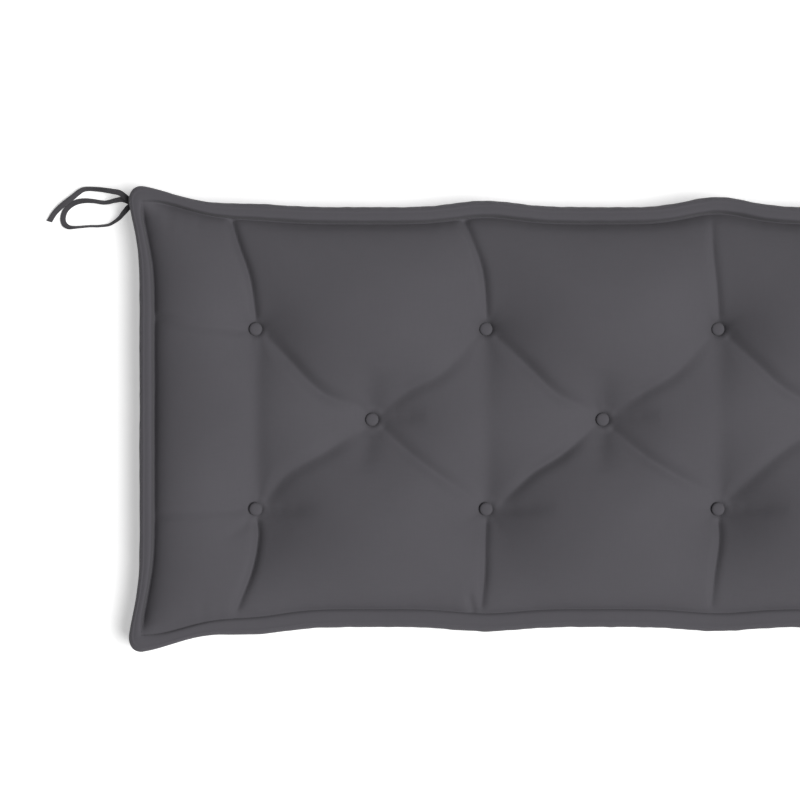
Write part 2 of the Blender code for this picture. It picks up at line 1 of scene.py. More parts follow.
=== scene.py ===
"""Looks of a long button-tufted bench cushion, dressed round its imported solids.

Metres, +Z up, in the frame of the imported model. The cushion lies on its back on the surface at
z = 0, its length runs along X and its tied edge is at +Y. The cover, the covered buttons and the
tie tails are made in mesh code on the sizes of the solids that they stand for. Geometry Nodes lay
the stitches along the seams. The camera looks straight down on the cushion's left part.
"""

import logging
import math
from collections.abc import Sequence
from dataclasses import dataclass
from enum import Enum
from typing import NamedTuple

import bpy
import numpy as np
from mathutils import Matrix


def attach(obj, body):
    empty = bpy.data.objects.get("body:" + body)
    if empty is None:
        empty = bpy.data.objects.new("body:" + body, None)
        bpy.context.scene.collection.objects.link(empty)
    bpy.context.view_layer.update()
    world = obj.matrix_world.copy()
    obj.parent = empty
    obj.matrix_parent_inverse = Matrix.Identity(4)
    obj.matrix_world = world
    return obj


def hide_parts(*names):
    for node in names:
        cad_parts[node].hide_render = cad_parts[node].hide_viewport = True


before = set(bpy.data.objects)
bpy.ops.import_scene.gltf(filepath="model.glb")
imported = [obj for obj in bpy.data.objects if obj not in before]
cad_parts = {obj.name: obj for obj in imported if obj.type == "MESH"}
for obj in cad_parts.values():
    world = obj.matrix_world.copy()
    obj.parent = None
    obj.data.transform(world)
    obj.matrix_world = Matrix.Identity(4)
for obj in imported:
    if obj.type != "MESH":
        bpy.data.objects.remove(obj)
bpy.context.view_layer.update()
BODY = "root"
LOG = logging.getLogger("cushion")

Colour = tuple[float, float, float]
Face = tuple[int, ...]
Socket = bpy.types.NodeSocket
Feed = Socket | bpy.types.Material | tuple | float


# --- Curves and meshes -------------------------------------------------------------------------

def smooth_curve(points: np.ndarray, steps: int) -> np.ndarray:
    """Lay a Catmull-Rom curve through points.

    Args:
        points: The points to pass through, one to a row, with any number of columns.
        steps: How many points each span gets.

    Returns:
        The curve's points, one to a row.
    """
    through = np.asarray(points, dtype=float)
    before = 2.0 * through[0] - through[1]
    after = 2.0 * through[-1] - through[-2]
    knots = np.vstack([before, through, after])
    curve = []
    for span in range(len(through) - 1):
        a, b, c, d = knots[span:span + 4]
        for step in range(steps):
            t = step / steps
            curve.append(0.5 * (2.0 * b + (c - a) * t + (2.0 * a - 5.0 * b + 4.0 * c - d) * t ** 2
                                + (3.0 * b - a - 3.0 * c + d) * t ** 3))
    curve.append(through[-1])
    return np.array(curve)


def evenly_spaced(curve: np.ndarray, spacing: float) -> np.ndarray:
    """Move a curve's points to equal distances.

    Args:
        curve: Points whose first three columns are their place.
        spacing: The distance wanted between two points.

    Returns:
        The same curve with its points about `spacing` apart.
    """
    lengths = np.linalg.norm(np.diff(curve[:, :3], axis=0), axis=1)
    along = np.concatenate([[0.0], np.cumsum(lengths)])
    count = max(2, int(round(along[-1] / spacing)) + 1)
    stops = np.linspace(0.0, along[-1], count)
    return np.column_stack([np.interp(stops, along, column) for column in curve.T])


def eased(share: np.ndarray) -> np.ndarray:
    """A share from 0 to 1 with a soft start and end."""
    held = np.clip(share, 0.0, 1.0)
    return held * held * (3.0 - 2.0 * held)


def rings_from(first: int, count: int, size: int) -> list[range]:
    """The point numbers of rings that follow one another, `size` points to a ring."""
    return [range(start, start + size) for start in range(first, first + count * size, size)]


def ring_faces(rings: Sequence[Sequence[int]], anticlockwise: bool) -> list[Face]:
    """Join each ring of points to the next one.

    Args:
        rings: Each ring's point numbers, as many in every ring.
        anticlockwise: Whether the rings run anticlockwise round the way that they follow.

    Returns:
        The faces, facing out.
    """
    faces = []
    for ring, after in zip(rings[:-1], rings[1:]):
        for place, point in enumerate(ring):
            following = (place + 1) % len(ring)
            others = (after[place], after[following], ring[following])
            faces.append((point, *(reversed(others) if anticlockwise else others)))
    return faces


def add_piece(name: str, points: np.ndarray, faces: list[Face],
              material: bpy.types.Material) -> bpy.types.Object:
    """Make a smooth-shaded mesh object at the origin.

    Args:
        name: The piece's name.
        points: Its points, one to a row.
        faces: Its faces as point numbers, anticlockwise from outside.
        material: Its finish.

    Returns:
        The new object, linked to the scene.
    """
    mesh = bpy.data.meshes.new(name)
    mesh.from_pydata(np.asarray(points).tolist(), [], faces)
    mesh.validate()
    mesh.shade_smooth()
    mesh.materials.append(material)
    piece = bpy.data.objects.new(name, mesh)
    bpy.context.scene.collection.objects.link(piece)
    return piece


def report(piece: bpy.types.Object) -> None:
    """Log a finished piece's name and triangle count."""
    triangles = sum(len(face.vertices) - 2 for face in piece.data.polygons)
    LOG.info("%s: %d triangles", piece.name, triangles)


@dataclass(frozen=True)
class Ripples:
    """Smooth uneven waves whose lengths lie in one band, the same in every run."""

    shortest: float
    longest: float
    seed: int
    count: int = 14

    def at(self, x: np.ndarray, y: np.ndarray) -> np.ndarray:
        """Work out the waves' height at places in a plane.

        Args:
            x: First coordinate of each place.
            y: Second coordinate of each place.

        Returns:
            A height for each place, mostly between -1 and 1.
        """
        chosen = np.random.default_rng(self.seed)
        total = np.zeros(np.shape(x))
        for _ in range(self.count):
            length = chosen.uniform(self.shortest, self.longest)
            heading = chosen.uniform(0.0, math.tau)
            phase = chosen.uniform(0.0, math.tau)
            reach = x * math.cos(heading) + y * math.sin(heading)
            total = total + np.sin(math.tau / length * reach + phase)
        return total / math.sqrt(2.0 * self.count)


class Wave(NamedTuple):
    """A wave round a tuft: its crests, its height, and its turn from one tuft to the next."""

    crests: float
    height: float
    turn: float


def waves_round(waves: tuple[Wave, ...], angle: np.ndarray, number: int) -> np.ndarray:
    """The height of some waves at angles round a tuft with a number."""
    return sum(wave.height * np.sin(wave.crests * angle + wave.turn * number) for wave in waves)


# --- Node trees --------------------------------------------------------------------------------

class Wiring:
    """Adds nodes to a tree and joins them up."""

    def __init__(self, tree: bpy.types.NodeTree) -> None:
        """Keep the tree to work on."""
        self.tree = tree

    def feed(self, node: bpy.types.Node, feeds: dict[str | int, Feed]) -> None:
        """Join outputs to a node's inputs, or set the inputs to plain values.

        Args:
            node: The node.
            feeds: An output or a value for each input, by the input's name or number.
        """
        for place, value in feeds.items():
            if isinstance(value, Socket):
                self.tree.links.new(value, node.inputs[place])
            else:
                node.inputs[place].default_value = value

    def add(self, kind: str, feeds: dict[str | int, Feed] | None = None, **settings) -> bpy.types.Node:
        """Add a node.

        Args:
            kind: The node's type.
            feeds: What its inputs get.
            **settings: Properties to set on it.

        Returns:
            The new node.
        """
        node = self.tree.nodes.new(kind)
        for name, value in settings.items():
            setattr(node, name, value)
        self.feed(node, feeds or {})
        return node

    def math(self, operation: str, first: Feed, second: Feed = 0.0) -> Socket:
        """Work out a number from one or two outputs or numbers."""
        return self.add("ShaderNodeMath", {0: first, 1: second}, operation=operation).outputs[0]

    def lifted(self, value: Socket) -> Socket:
        """Turn a value between -1 and 1 into one between 0 and 1."""
        return self.math("ADD", self.math("MULTIPLY", value, 0.5), 0.5)

    def noise(self, place: Socket, scale: Feed, detail: float) -> Socket:
        """Lay soft noise over a surface.

        Args:
            place: The output that gives the place, in the noise's own units.
            scale: How fine the noise is.
            detail: How many finer layers it has.

        Returns:
            The noise's value, about 0.5 on average.
        """
        feeds = {"Vector": place, "Scale": scale, "Detail": detail}
        return self.add("ShaderNodeTexNoise", feeds).outputs["Fac"]

    def scaled(self, place: Socket, factors: tuple[float, float, float]) -> Socket:
        """Multiply a place by a factor along each axis."""
        return self.add("ShaderNodeVectorMath", {0: place, 1: factors}, operation="MULTIPLY").outputs[0]

    def blend(self, share: Socket, first: tuple, second: tuple) -> Socket:
        """Mix two colours.

        Args:
            share: The second colour's share, from 0 to 1.
            first: A colour and its alpha.
            second: A colour and its alpha.

        Returns:
            The mixed colour.
        """
        feeds = {"Factor": share, "A": first, "B": second}
        return self.add("ShaderNodeMix", feeds, data_type="RGBA", clamp_factor=True).outputs["Result"]

    def raised(self, height: Socket) -> Socket:
        """The normal of a surface that is raised by a height in metres."""
        feeds = {"Strength": 1.0, "Distance": 1.0, "Height": height}
        return self.add("ShaderNodeBump", feeds).outputs["Normal"]


def socket_ids(tree: bpy.types.NodeTree) -> dict[str, str]:
    """The identifier of each of a tree's inputs, by its name."""
    sockets = [item for item in tree.interface.items_tree if item.item_type == "SOCKET"]
    return {socket.name: socket.identifier for socket in sockets if socket.in_out == "INPUT"}


def new_group(name: str, inputs: dict[str, tuple[str, object]], outputs: list[str]) -> tuple:
    """Start a shader node group.

    Args:
        name: The group's name.
        inputs: Each input's socket type and its usual value, or None, by name.
        outputs: The names of its outputs, all numbers.

    Returns:
        The group, its wiring, its Group Input node and its Group Output node.
    """
    tree = bpy.data.node_groups.new(name, "ShaderNodeTree")
    for label, (kind, value) in inputs.items():
        socket = tree.interface.new_socket(name=label, in_out="INPUT", socket_type=kind)
        if value is not None:
            socket.default_value = value
    for label in outputs:
        tree.interface.new_socket(name=label, in_out="OUTPUT", socket_type="NodeSocketFloat")
    wiring = Wiring(tree)
    return tree, wiring, wiring.add("NodeGroupInput"), wiring.add("NodeGroupOutput")


def opaque(colour: Colour, factor: float = 1.0) -> tuple[float, float, float, float]:
    """A colour made lighter or darker by a factor, with its alpha."""
    return tuple(factor * channel for channel in colour) + (1.0,)


def new_material(name: str, colour: Colour) -> tuple[bpy.types.Material, Wiring, bpy.types.Node]:
    """Start a material.

    Args:
        name: The material's name.
        colour: Its plain colour, for views without its nodes.

    Returns:
        The material, its wiring and its Principled BSDF node.
    """
    material = bpy.data.materials.new(name)
    material.use_nodes = True
    material.diffuse_color = opaque(colour)
    tree = material.node_tree
    return material, Wiring(tree), tree.nodes["Principled BSDF"]


# --- Finishes ----------------------------------------------------------------------------------

class ClothEffects:
    """The shader groups that the cloths share, each built once."""

    SLUB_STRETCH = 14.0               # how much longer than wide a thick place in a yarn is
    SLUB_DROP = 6.0                   # how much finer than its length it is along Z
    SLUB_DETAIL = 2.0
    BLOTCH_DETAIL = 3.0

    def __init__(self) -> None:
        """Build every group."""
        self.weave = self.plain_weave()
        self.yarns = self.yarn_slubs()
        self.blotches = self.soft_blotches()

    @staticmethod
    def plain_weave() -> bpy.types.NodeTree:
        """Build a plain weave: threads that pass over and under each other.

        The two sets of threads run along X and Y on a level cloth, and turn with Z where it hangs.

        Returns:
            The group, whose Height is highest on a crossing's upper thread and whose Gap is
            highest between the threads, where the cloths paint shade with it.
        """
        tree, wiring, given, result = new_group(
            "plain_weave",
            {"Place": ("NodeSocketVector", None), "Pitch": ("NodeSocketFloat", 0.0006)},
            ["Height", "Gap"])
        x, y, z = wiring.add("ShaderNodeSeparateXYZ", {0: given.outputs["Place"]}).outputs
        turns = wiring.math("DIVIDE", math.tau, given.outputs["Pitch"])
        warp = wiring.math("SINE", wiring.math("MULTIPLY", wiring.math("ADD", x, z), turns))
        weft = wiring.math("SINE", wiring.math("MULTIPLY", wiring.math("SUBTRACT", y, z), turns))
        covered = wiring.math("MAXIMUM", wiring.math("ABSOLUTE", warp), wiring.math("ABSOLUTE", weft))
        wiring.feed(result, {"Height": wiring.lifted(wiring.math("MULTIPLY", warp, weft)),
                             "Gap": wiring.math("SUBTRACT", 1.0, covered)})
        return tree

    def yarn_slubs(self) -> bpy.types.NodeTree:
        """Build the uneven thickness of yarns: short streaks along both sets of threads.

        Returns:
            The group, whose Thickness is about 0.5 on average.
        """
        tree, wiring, given, result = new_group(
            "yarn_slubs", {"Place": ("NodeSocketVector", None), "Fineness": ("NodeSocketFloat", 60.0)},
            ["Thickness"])
        place, fineness = given.outputs["Place"], given.outputs["Fineness"]
        weft, warp = (wiring.noise(wiring.scaled(place, factors), fineness, self.SLUB_DETAIL)
                      for factors in ((1.0, self.SLUB_STRETCH, self.SLUB_DROP),
                                      (self.SLUB_STRETCH, 1.0, self.SLUB_DROP)))
        both = wiring.math("MULTIPLY", wiring.math("ADD", weft, warp), 0.5)
        wiring.feed(result, {"Thickness": both})
        return tree

    def soft_blotches(self) -> bpy.types.NodeTree:
        """Build the broad, faint unevenness of a dyed cloth.

        Returns:
            The group, whose Shade is about 0.5 on average.
        """
        tree, wiring, given, result = new_group(
            "soft_blotches", {"Place": ("NodeSocketVector", None), "Fineness": ("NodeSocketFloat", 12.0)},
            ["Shade"])
        broad = wiring.noise(given.outputs["Place"], given.outputs["Fineness"], self.BLOTCH_DETAIL)
        wiring.feed(result, {"Shade": broad})
        return tree


@dataclass(frozen=True)
class ClothFinish:
    """A close plain-woven cloth, as its colour, its threads and its sheen."""

    name: str
    colour: Colour
    spread: float = 0.10              # how much lighter and darker than its colour the cloth gets
    yarn_shade: float = 0.55          # how much of that comes from uneven yarns
    dye_shade: float = 0.45           # how much of it comes from blotches of the dye
    gap_painted_shade: float = 0.25           # painted shade: how much darker the cloth is painted between the threads, where the weave lies in shade
    pitch: float = 0.0006             # from one thread to the next
    relief: float = 0.00007           # height of a thread over its neighbours
    slub_relief: float = 0.00005
    smoothest: float = 0.80
    roughest: float = 0.93
    specular: float = 0.25
    sheen: float = 0.10
    sheen_roughness: float = 0.45

    def material(self, effects: ClothEffects) -> bpy.types.Material:
        """Build the cloth's material.

        Args:
            effects: The shader groups that cloths share.

        Returns:
            The material.
        """
        made, wiring, shader = new_material(self.name, self.colour)
        place = wiring.add("ShaderNodeTexCoord").outputs["Object"]
        weave, yarns, blotches = (wiring.add("ShaderNodeGroup", node_tree=tree)
                                  for tree in (effects.weave, effects.yarns, effects.blotches))
        for group in (weave, yarns, blotches):
            wiring.feed(group, {"Place": place})
        wiring.feed(weave, {"Pitch": self.pitch})

        # The cloth's tone: random yarn and dye variation, its own colour, less painted shade between the
        # threads.
        yarn_shade = wiring.math("MULTIPLY", yarns.outputs["Thickness"], self.yarn_shade)
        dye_shade = wiring.math("MULTIPLY", blotches.outputs["Shade"], self.dye_shade)
        gap_painted_shade = wiring.math("MULTIPLY", weave.outputs["Gap"], self.gap_painted_shade)
        shade = wiring.math("SUBTRACT", wiring.math("ADD", yarn_shade, dye_shade), gap_painted_shade)
        rough = wiring.add("ShaderNodeMapRange",
                           {"Value": shade, "To Min": self.roughest, "To Max": self.smoothest})
        threads = wiring.math("MULTIPLY", weave.outputs["Height"], self.relief)
        slubs = wiring.math("MULTIPLY", yarns.outputs["Thickness"], self.slub_relief)
        wiring.feed(shader, {
            "Base Color": wiring.blend(shade, opaque(self.colour, 1.0 - self.spread),
                                       opaque(self.colour, 1.0 + self.spread)),
            "Roughness": rough.outputs["Result"],
            "Normal": wiring.raised(wiring.math("ADD", threads, slubs)),
            "Metallic": 0.0,
            "Specular IOR Level": self.specular,
            "Sheen Weight": self.sheen,
            "Sheen Roughness": self.sheen_roughness})
        return made


@dataclass(frozen=True)
class ThreadFinish:
    """Twisted polyester sewing thread."""

    name: str
    colour: Colour
    painted_groove_shade: float = 0.80             # painted shade in the twist's grooves, against its colour; the next is the painted highlight on its crests
    painted_crest_highlight: float = 1.15
    twist_length: float = 0.0011
    relief: float = 0.00005
    roughness: float = 0.62

    def material(self) -> bpy.types.Material:
        """Build the thread's material: slanting strands, painted darker in their grooves and lighter on their
        crests.

        Returns:
            The material.
        """
        made, wiring, shader = new_material(self.name, self.colour)
        place = wiring.add("ShaderNodeTexCoord").outputs["Object"]
        x, y, z = wiring.add("ShaderNodeSeparateXYZ", {0: place}).outputs
        slant = wiring.math("ADD", wiring.math("ADD", x, y), z)
        strands = wiring.math("SINE", wiring.math("MULTIPLY", slant, math.tau / self.twist_length))
        # Painted shade in the grooves between the strands and painted highlight on their crests, in step with
        # their faint bump.
        wiring.feed(shader, {
            "Base Color": wiring.blend(wiring.lifted(strands), opaque(self.colour, self.painted_groove_shade),
                                       opaque(self.colour, self.painted_crest_highlight)),
            "Normal": wiring.raised(wiring.math("MULTIPLY", strands, self.relief)),
            "Roughness": self.roughness})
        return made


@dataclass(frozen=True)
class FloorFinish:
    """A plain pale light table, which shines a little and so keeps the shadow on it faint."""

    name: str = "pale_floor"
    colour: Colour = (0.93, 0.93, 0.93)
    glow: float = 0.40
    roughness: float = 0.95

    def material(self) -> bpy.types.Material:
        """Build the floor's material.

        Returns:
            The material.
        """
        made, wiring, shader = new_material(self.name, self.colour)
        wiring.feed(shader, {
            "Base Color": opaque(self.colour),
            "Emission Color": (1.0, 1.0, 1.0, 1.0),
            "Emission Strength": self.glow,
            "Roughness": self.roughness,
            "Specular IOR Level": 0.0})
        return made


# --- Studio ------------------------------------------------------------------------------------

@dataclass
class Studio:
    """The floor, the light and the camera, which looks straight down."""

    frame_width: float = 0.8529       # what the square picture spans at the height of the rolls
    frame_centre: tuple[float, float] = (-0.2160, 0.0208)
    sharp_height: float = 0.045       # the height at which the picture has that width
    distance: float = 3.8             # of the camera above it
    sensor: float = 36.0
    nearest: float = 0.1              # between these distances the camera sees
    furthest: float = 100.0
    floor_half: float = 9.0
    light_azimuth: float = -15.0      # degrees from +X towards +Y, from where the light comes
    light_elevation: float = 62.0
    light_angle: float = 34.0         # degrees that the lamp spans, which softens its shadows
    light_strength: float = 2.85
    sky_strength: float = 0.155

    def build(self) -> None:
        """Set up the camera, the floor and the light."""
        self.camera()
        self.floor()
        self.light()

    def camera(self) -> None:
        """Stand the camera over the part of the cushion that the picture shows."""
        data = bpy.data.cameras.new("camera")
        data.sensor_width = self.sensor
        data.lens = self.sensor * self.distance / self.frame_width
        data.clip_start = self.nearest
        data.clip_end = self.furthest
        camera = bpy.data.objects.new("camera", data)
        camera.location = (*self.frame_centre, self.sharp_height + self.distance)
        bpy.context.scene.collection.objects.link(camera)
        bpy.context.scene.camera = camera

    def floor(self) -> None:
        """Lay the plain floor."""
        half = self.floor_half
        points = np.array([(-half, -half, 0.0), (half, -half, 0.0), (half, half, 0.0), (-half, half, 0.0)])
        floor = add_piece("floor", points, [(0, 1, 2, 3)], FloorFinish().material())

    def light(self) -> None:
        """Hang one broad lamp at the right, and fill the rest with an even pale sky.

        Where the camera looks past the floor it sees the sky as pale as the floor.
        """
        lamp = bpy.data.lights.new("broad_lamp", "SUN")
        lamp.energy = self.light_strength
        lamp.angle = math.radians(self.light_angle)
        holder = bpy.data.objects.new("broad_lamp", lamp)
        tilt = math.radians(90.0 - self.light_elevation)
        holder.rotation_euler = (0.0, tilt, math.radians(self.light_azimuth))
        bpy.context.scene.collection.objects.link(holder)
        world = bpy.data.worlds.new("pale_sky")
        world.use_nodes = True
        wiring = Wiring(world.node_tree)
        seen = wiring.add("ShaderNodeLightPath").outputs["Is Camera Ray"]
        wiring.feed(world.node_tree.nodes["Background"], {
            "Color": (1.0, 1.0, 1.0, 1.0),
            "Strength": wiring.math("MAXIMUM", seen, self.sky_strength)})
        bpy.context.scene.world = world
        bpy.context.scene.view_settings.view_transform = "Standard"


# --- Sewing ------------------------------------------------------------------------------------

@dataclass(frozen=True)
class StitchSizes:
    """A row of stitches: their pitch, their length and their thread."""

    pitch: float
    length: float
    thread: float                     # the thread's radius
    wander: float                     # how far a stitch may turn off its line, in radians
    seed: int


class StitchMaker:
    """Lays stitches along lines with one Geometry Nodes tree."""

    SIDES = 6
    RINGS = 5

    def __init__(self, thread: bpy.types.Material) -> None:
        """Build the tree and keep the thread's material."""
        self.thread = thread
        self.tree = self.stitch_tree()

    def stitch_tree(self) -> bpy.types.NodeTree:
        """Build the tree: a thread bead, laid along a line at equal distances.

        Returns:
            The tree, with named inputs for the stitches' sizes.
        """
        tree = bpy.data.node_groups.new("stitch_row", "GeometryNodeTree")
        inputs = {"Line": "Geometry", "Pitch": "Float", "Stitch Length": "Float", "Thread Radius": "Float",
                  "Wander": "Float", "Seed": "Int", "Thread": "Material"}
        for label, kind in inputs.items():
            tree.interface.new_socket(name=label, in_out="INPUT", socket_type=f"NodeSocket{kind}")
        tree.interface.new_socket(name="Stitches", in_out="OUTPUT", socket_type="NodeSocketGeometry")

        wiring = Wiring(tree)
        given = wiring.add("NodeGroupInput").outputs
        line = wiring.add("GeometryNodeMeshToCurve", {"Mesh": given["Line"]})
        even = wiring.add("GeometryNodeResampleCurve",
                          {"Curve": line.outputs["Curve"], "Length": given["Pitch"]}, mode="LENGTH")

        bead = wiring.add("GeometryNodeMeshUVSphere",
                          {"Segments": self.SIDES, "Rings": self.RINGS, "Radius": given["Thread Radius"]})
        diameter = wiring.math("MULTIPLY", given["Thread Radius"], 2.0)
        stretch = wiring.math("DIVIDE", given["Stitch Length"], diameter)
        size = wiring.add("ShaderNodeCombineXYZ", {0: 1.0, 1: 1.0, 2: stretch})

        ahead = wiring.add("GeometryNodeInputTangent").outputs[0]
        aim = wiring.add("FunctionNodeAlignRotationToVector", {"Vector": ahead}, axis="Z")
        wander = wiring.add("FunctionNodeRandomValue",
                            {0: wiring.math("MULTIPLY", given["Wander"], -1.0), 1: given["Wander"],
                             "Seed": given["Seed"]}, data_type="FLOAT_VECTOR")
        turned = wiring.add("FunctionNodeRotateRotation",
                            {"Rotation": aim.outputs["Rotation"], "Rotate By": wander.outputs[0]},
                            rotation_space="LOCAL")

        laid = wiring.add("GeometryNodeInstanceOnPoints",
                          {"Points": even.outputs["Curve"], "Instance": bead.outputs["Mesh"],
                           "Rotation": turned.outputs["Rotation"], "Scale": size.outputs[0]})
        real = wiring.add("GeometryNodeRealizeInstances", {"Geometry": laid.outputs["Instances"]})
        dressed = wiring.add("GeometryNodeSetMaterial",
                             {"Geometry": real.outputs["Geometry"], "Material": given["Thread"]})
        wiring.add("NodeGroupOutput", {"Stitches": dressed.outputs["Geometry"]})
        return tree

    def sew(self, name: str, lines: list[np.ndarray], sizes: StitchSizes) -> bpy.types.Object:
        """Sew one or more lines and make the stitches a plain mesh.

        Args:
            name: The piece's name.
            lines: The lines to sew, each with its points one to a row. A closed one repeats its first.
            sizes: The stitches' sizes.

        Returns:
            The piece, with no modifier left on it.
        """
        edges = []
        first = 0
        for line in lines:
            edges += [(point, point + 1) for point in range(first, first + len(line) - 1)]
            first += len(line)
        guide = bpy.data.meshes.new(f"{name}_guide")
        guide.from_pydata(np.vstack(lines).tolist(), edges, [])
        piece = bpy.data.objects.new(name, guide)
        bpy.context.scene.collection.objects.link(piece)
        row = piece.modifiers.new("stitch_row", "NODES")
        row.node_group = self.tree
        values = {"Pitch": sizes.pitch, "Stitch Length": sizes.length, "Thread Radius": sizes.thread,
                  "Wander": sizes.wander, "Seed": sizes.seed, "Thread": self.thread}
        identifiers = socket_ids(self.tree)
        for label, value in values.items():
            row[identifiers[label]] = value
        graph = bpy.context.evaluated_depsgraph_get()
        sewn = bpy.data.meshes.new_from_object(piece.evaluated_get(graph))
        sewn.name = name
        sewn.shade_smooth()
        piece.modifiers.clear()
        piece.data = sewn
        bpy.data.meshes.remove(guide)
        return piece


# --- Tie tails ---------------------------------------------------------------------------------

class Corner(Enum):
    """The two tied corners; a value turns the left corner's x into this corner's."""

    LEFT = 1.0
    RIGHT = -1.0


class TailEnd(Enum):
    """What becomes of a tie tail's far end."""

    FREE = "bare"
    SEWN_IN = "object"


class Stop(NamedTuple):
    """A point of a tape's route, and the turn of its width out of level, in degrees."""

    x: float
    y: float
    z: float
    turn: float


@dataclass(frozen=True)
class Tail:
    """One tie tail of the left corner."""

    name: str
    length: float
    far_end: TailEnd
    stops: tuple[Stop, ...]


LONG_TAIL = Tail("long", 0.121, TailEnd.FREE, (
    Stop(-0.4982, 0.2322, 0.0275, 0), Stop(-0.5035, 0.2325, 0.0277, 0), Stop(-0.5098, 0.2380, 0.0275, 0),
    Stop(-0.5166, 0.2428, 0.0256, 10), Stop(-0.5245, 0.2446, 0.0208, 25), Stop(-0.5357, 0.2467, 0.0125, 40),
    Stop(-0.5453, 0.2479, 0.0062, 46), Stop(-0.5525, 0.2482, 0.0046, 44), Stop(-0.5593, 0.2465, 0.0042, 34),
    Stop(-0.5683, 0.2395, 0.0047, 16), Stop(-0.5789, 0.2314, 0.0048, 6), Stop(-0.5880, 0.2227, 0.0030, 12),
    Stop(-0.5942, 0.2132, 0.0019, 10),
))
LOOPED_TAIL = Tail("loop", 0.196, TailEnd.SEWN_IN, (
    Stop(-0.4976, 0.2312, 0.0242, 0), Stop(-0.5030, 0.2315, 0.0242, 0), Stop(-0.5089, 0.2345, 0.0236, -6),
    Stop(-0.5149, 0.2360, 0.0214, -18), Stop(-0.5222, 0.2350, 0.0162, -34),
    Stop(-0.5340, 0.2332, 0.0085, -48), Stop(-0.5468, 0.2351, 0.0044, -46),
    Stop(-0.5587, 0.2353, 0.0030, -26), Stop(-0.5686, 0.2324, 0.0014, -6),
    Stop(-0.5763, 0.2258, 0.0013, 0), Stop(-0.5793, 0.2177, 0.0013, 0), Stop(-0.5782, 0.2111, 0.0021, 14),
    Stop(-0.5734, 0.2072, 0.0036, 44), Stop(-0.5655, 0.2068, 0.0046, 68), Stop(-0.5521, 0.2079, 0.0047, 74),
    Stop(-0.5387, 0.2083, 0.0048, 72), Stop(-0.5288, 0.2099, 0.0062, 66), Stop(-0.5190, 0.2156, 0.0118, 50),
    Stop(-0.5121, 0.2226, 0.0180, 24), Stop(-0.5062, 0.2282, 0.0206, 4), Stop(-0.4991, 0.2287, 0.0208, 0),
))


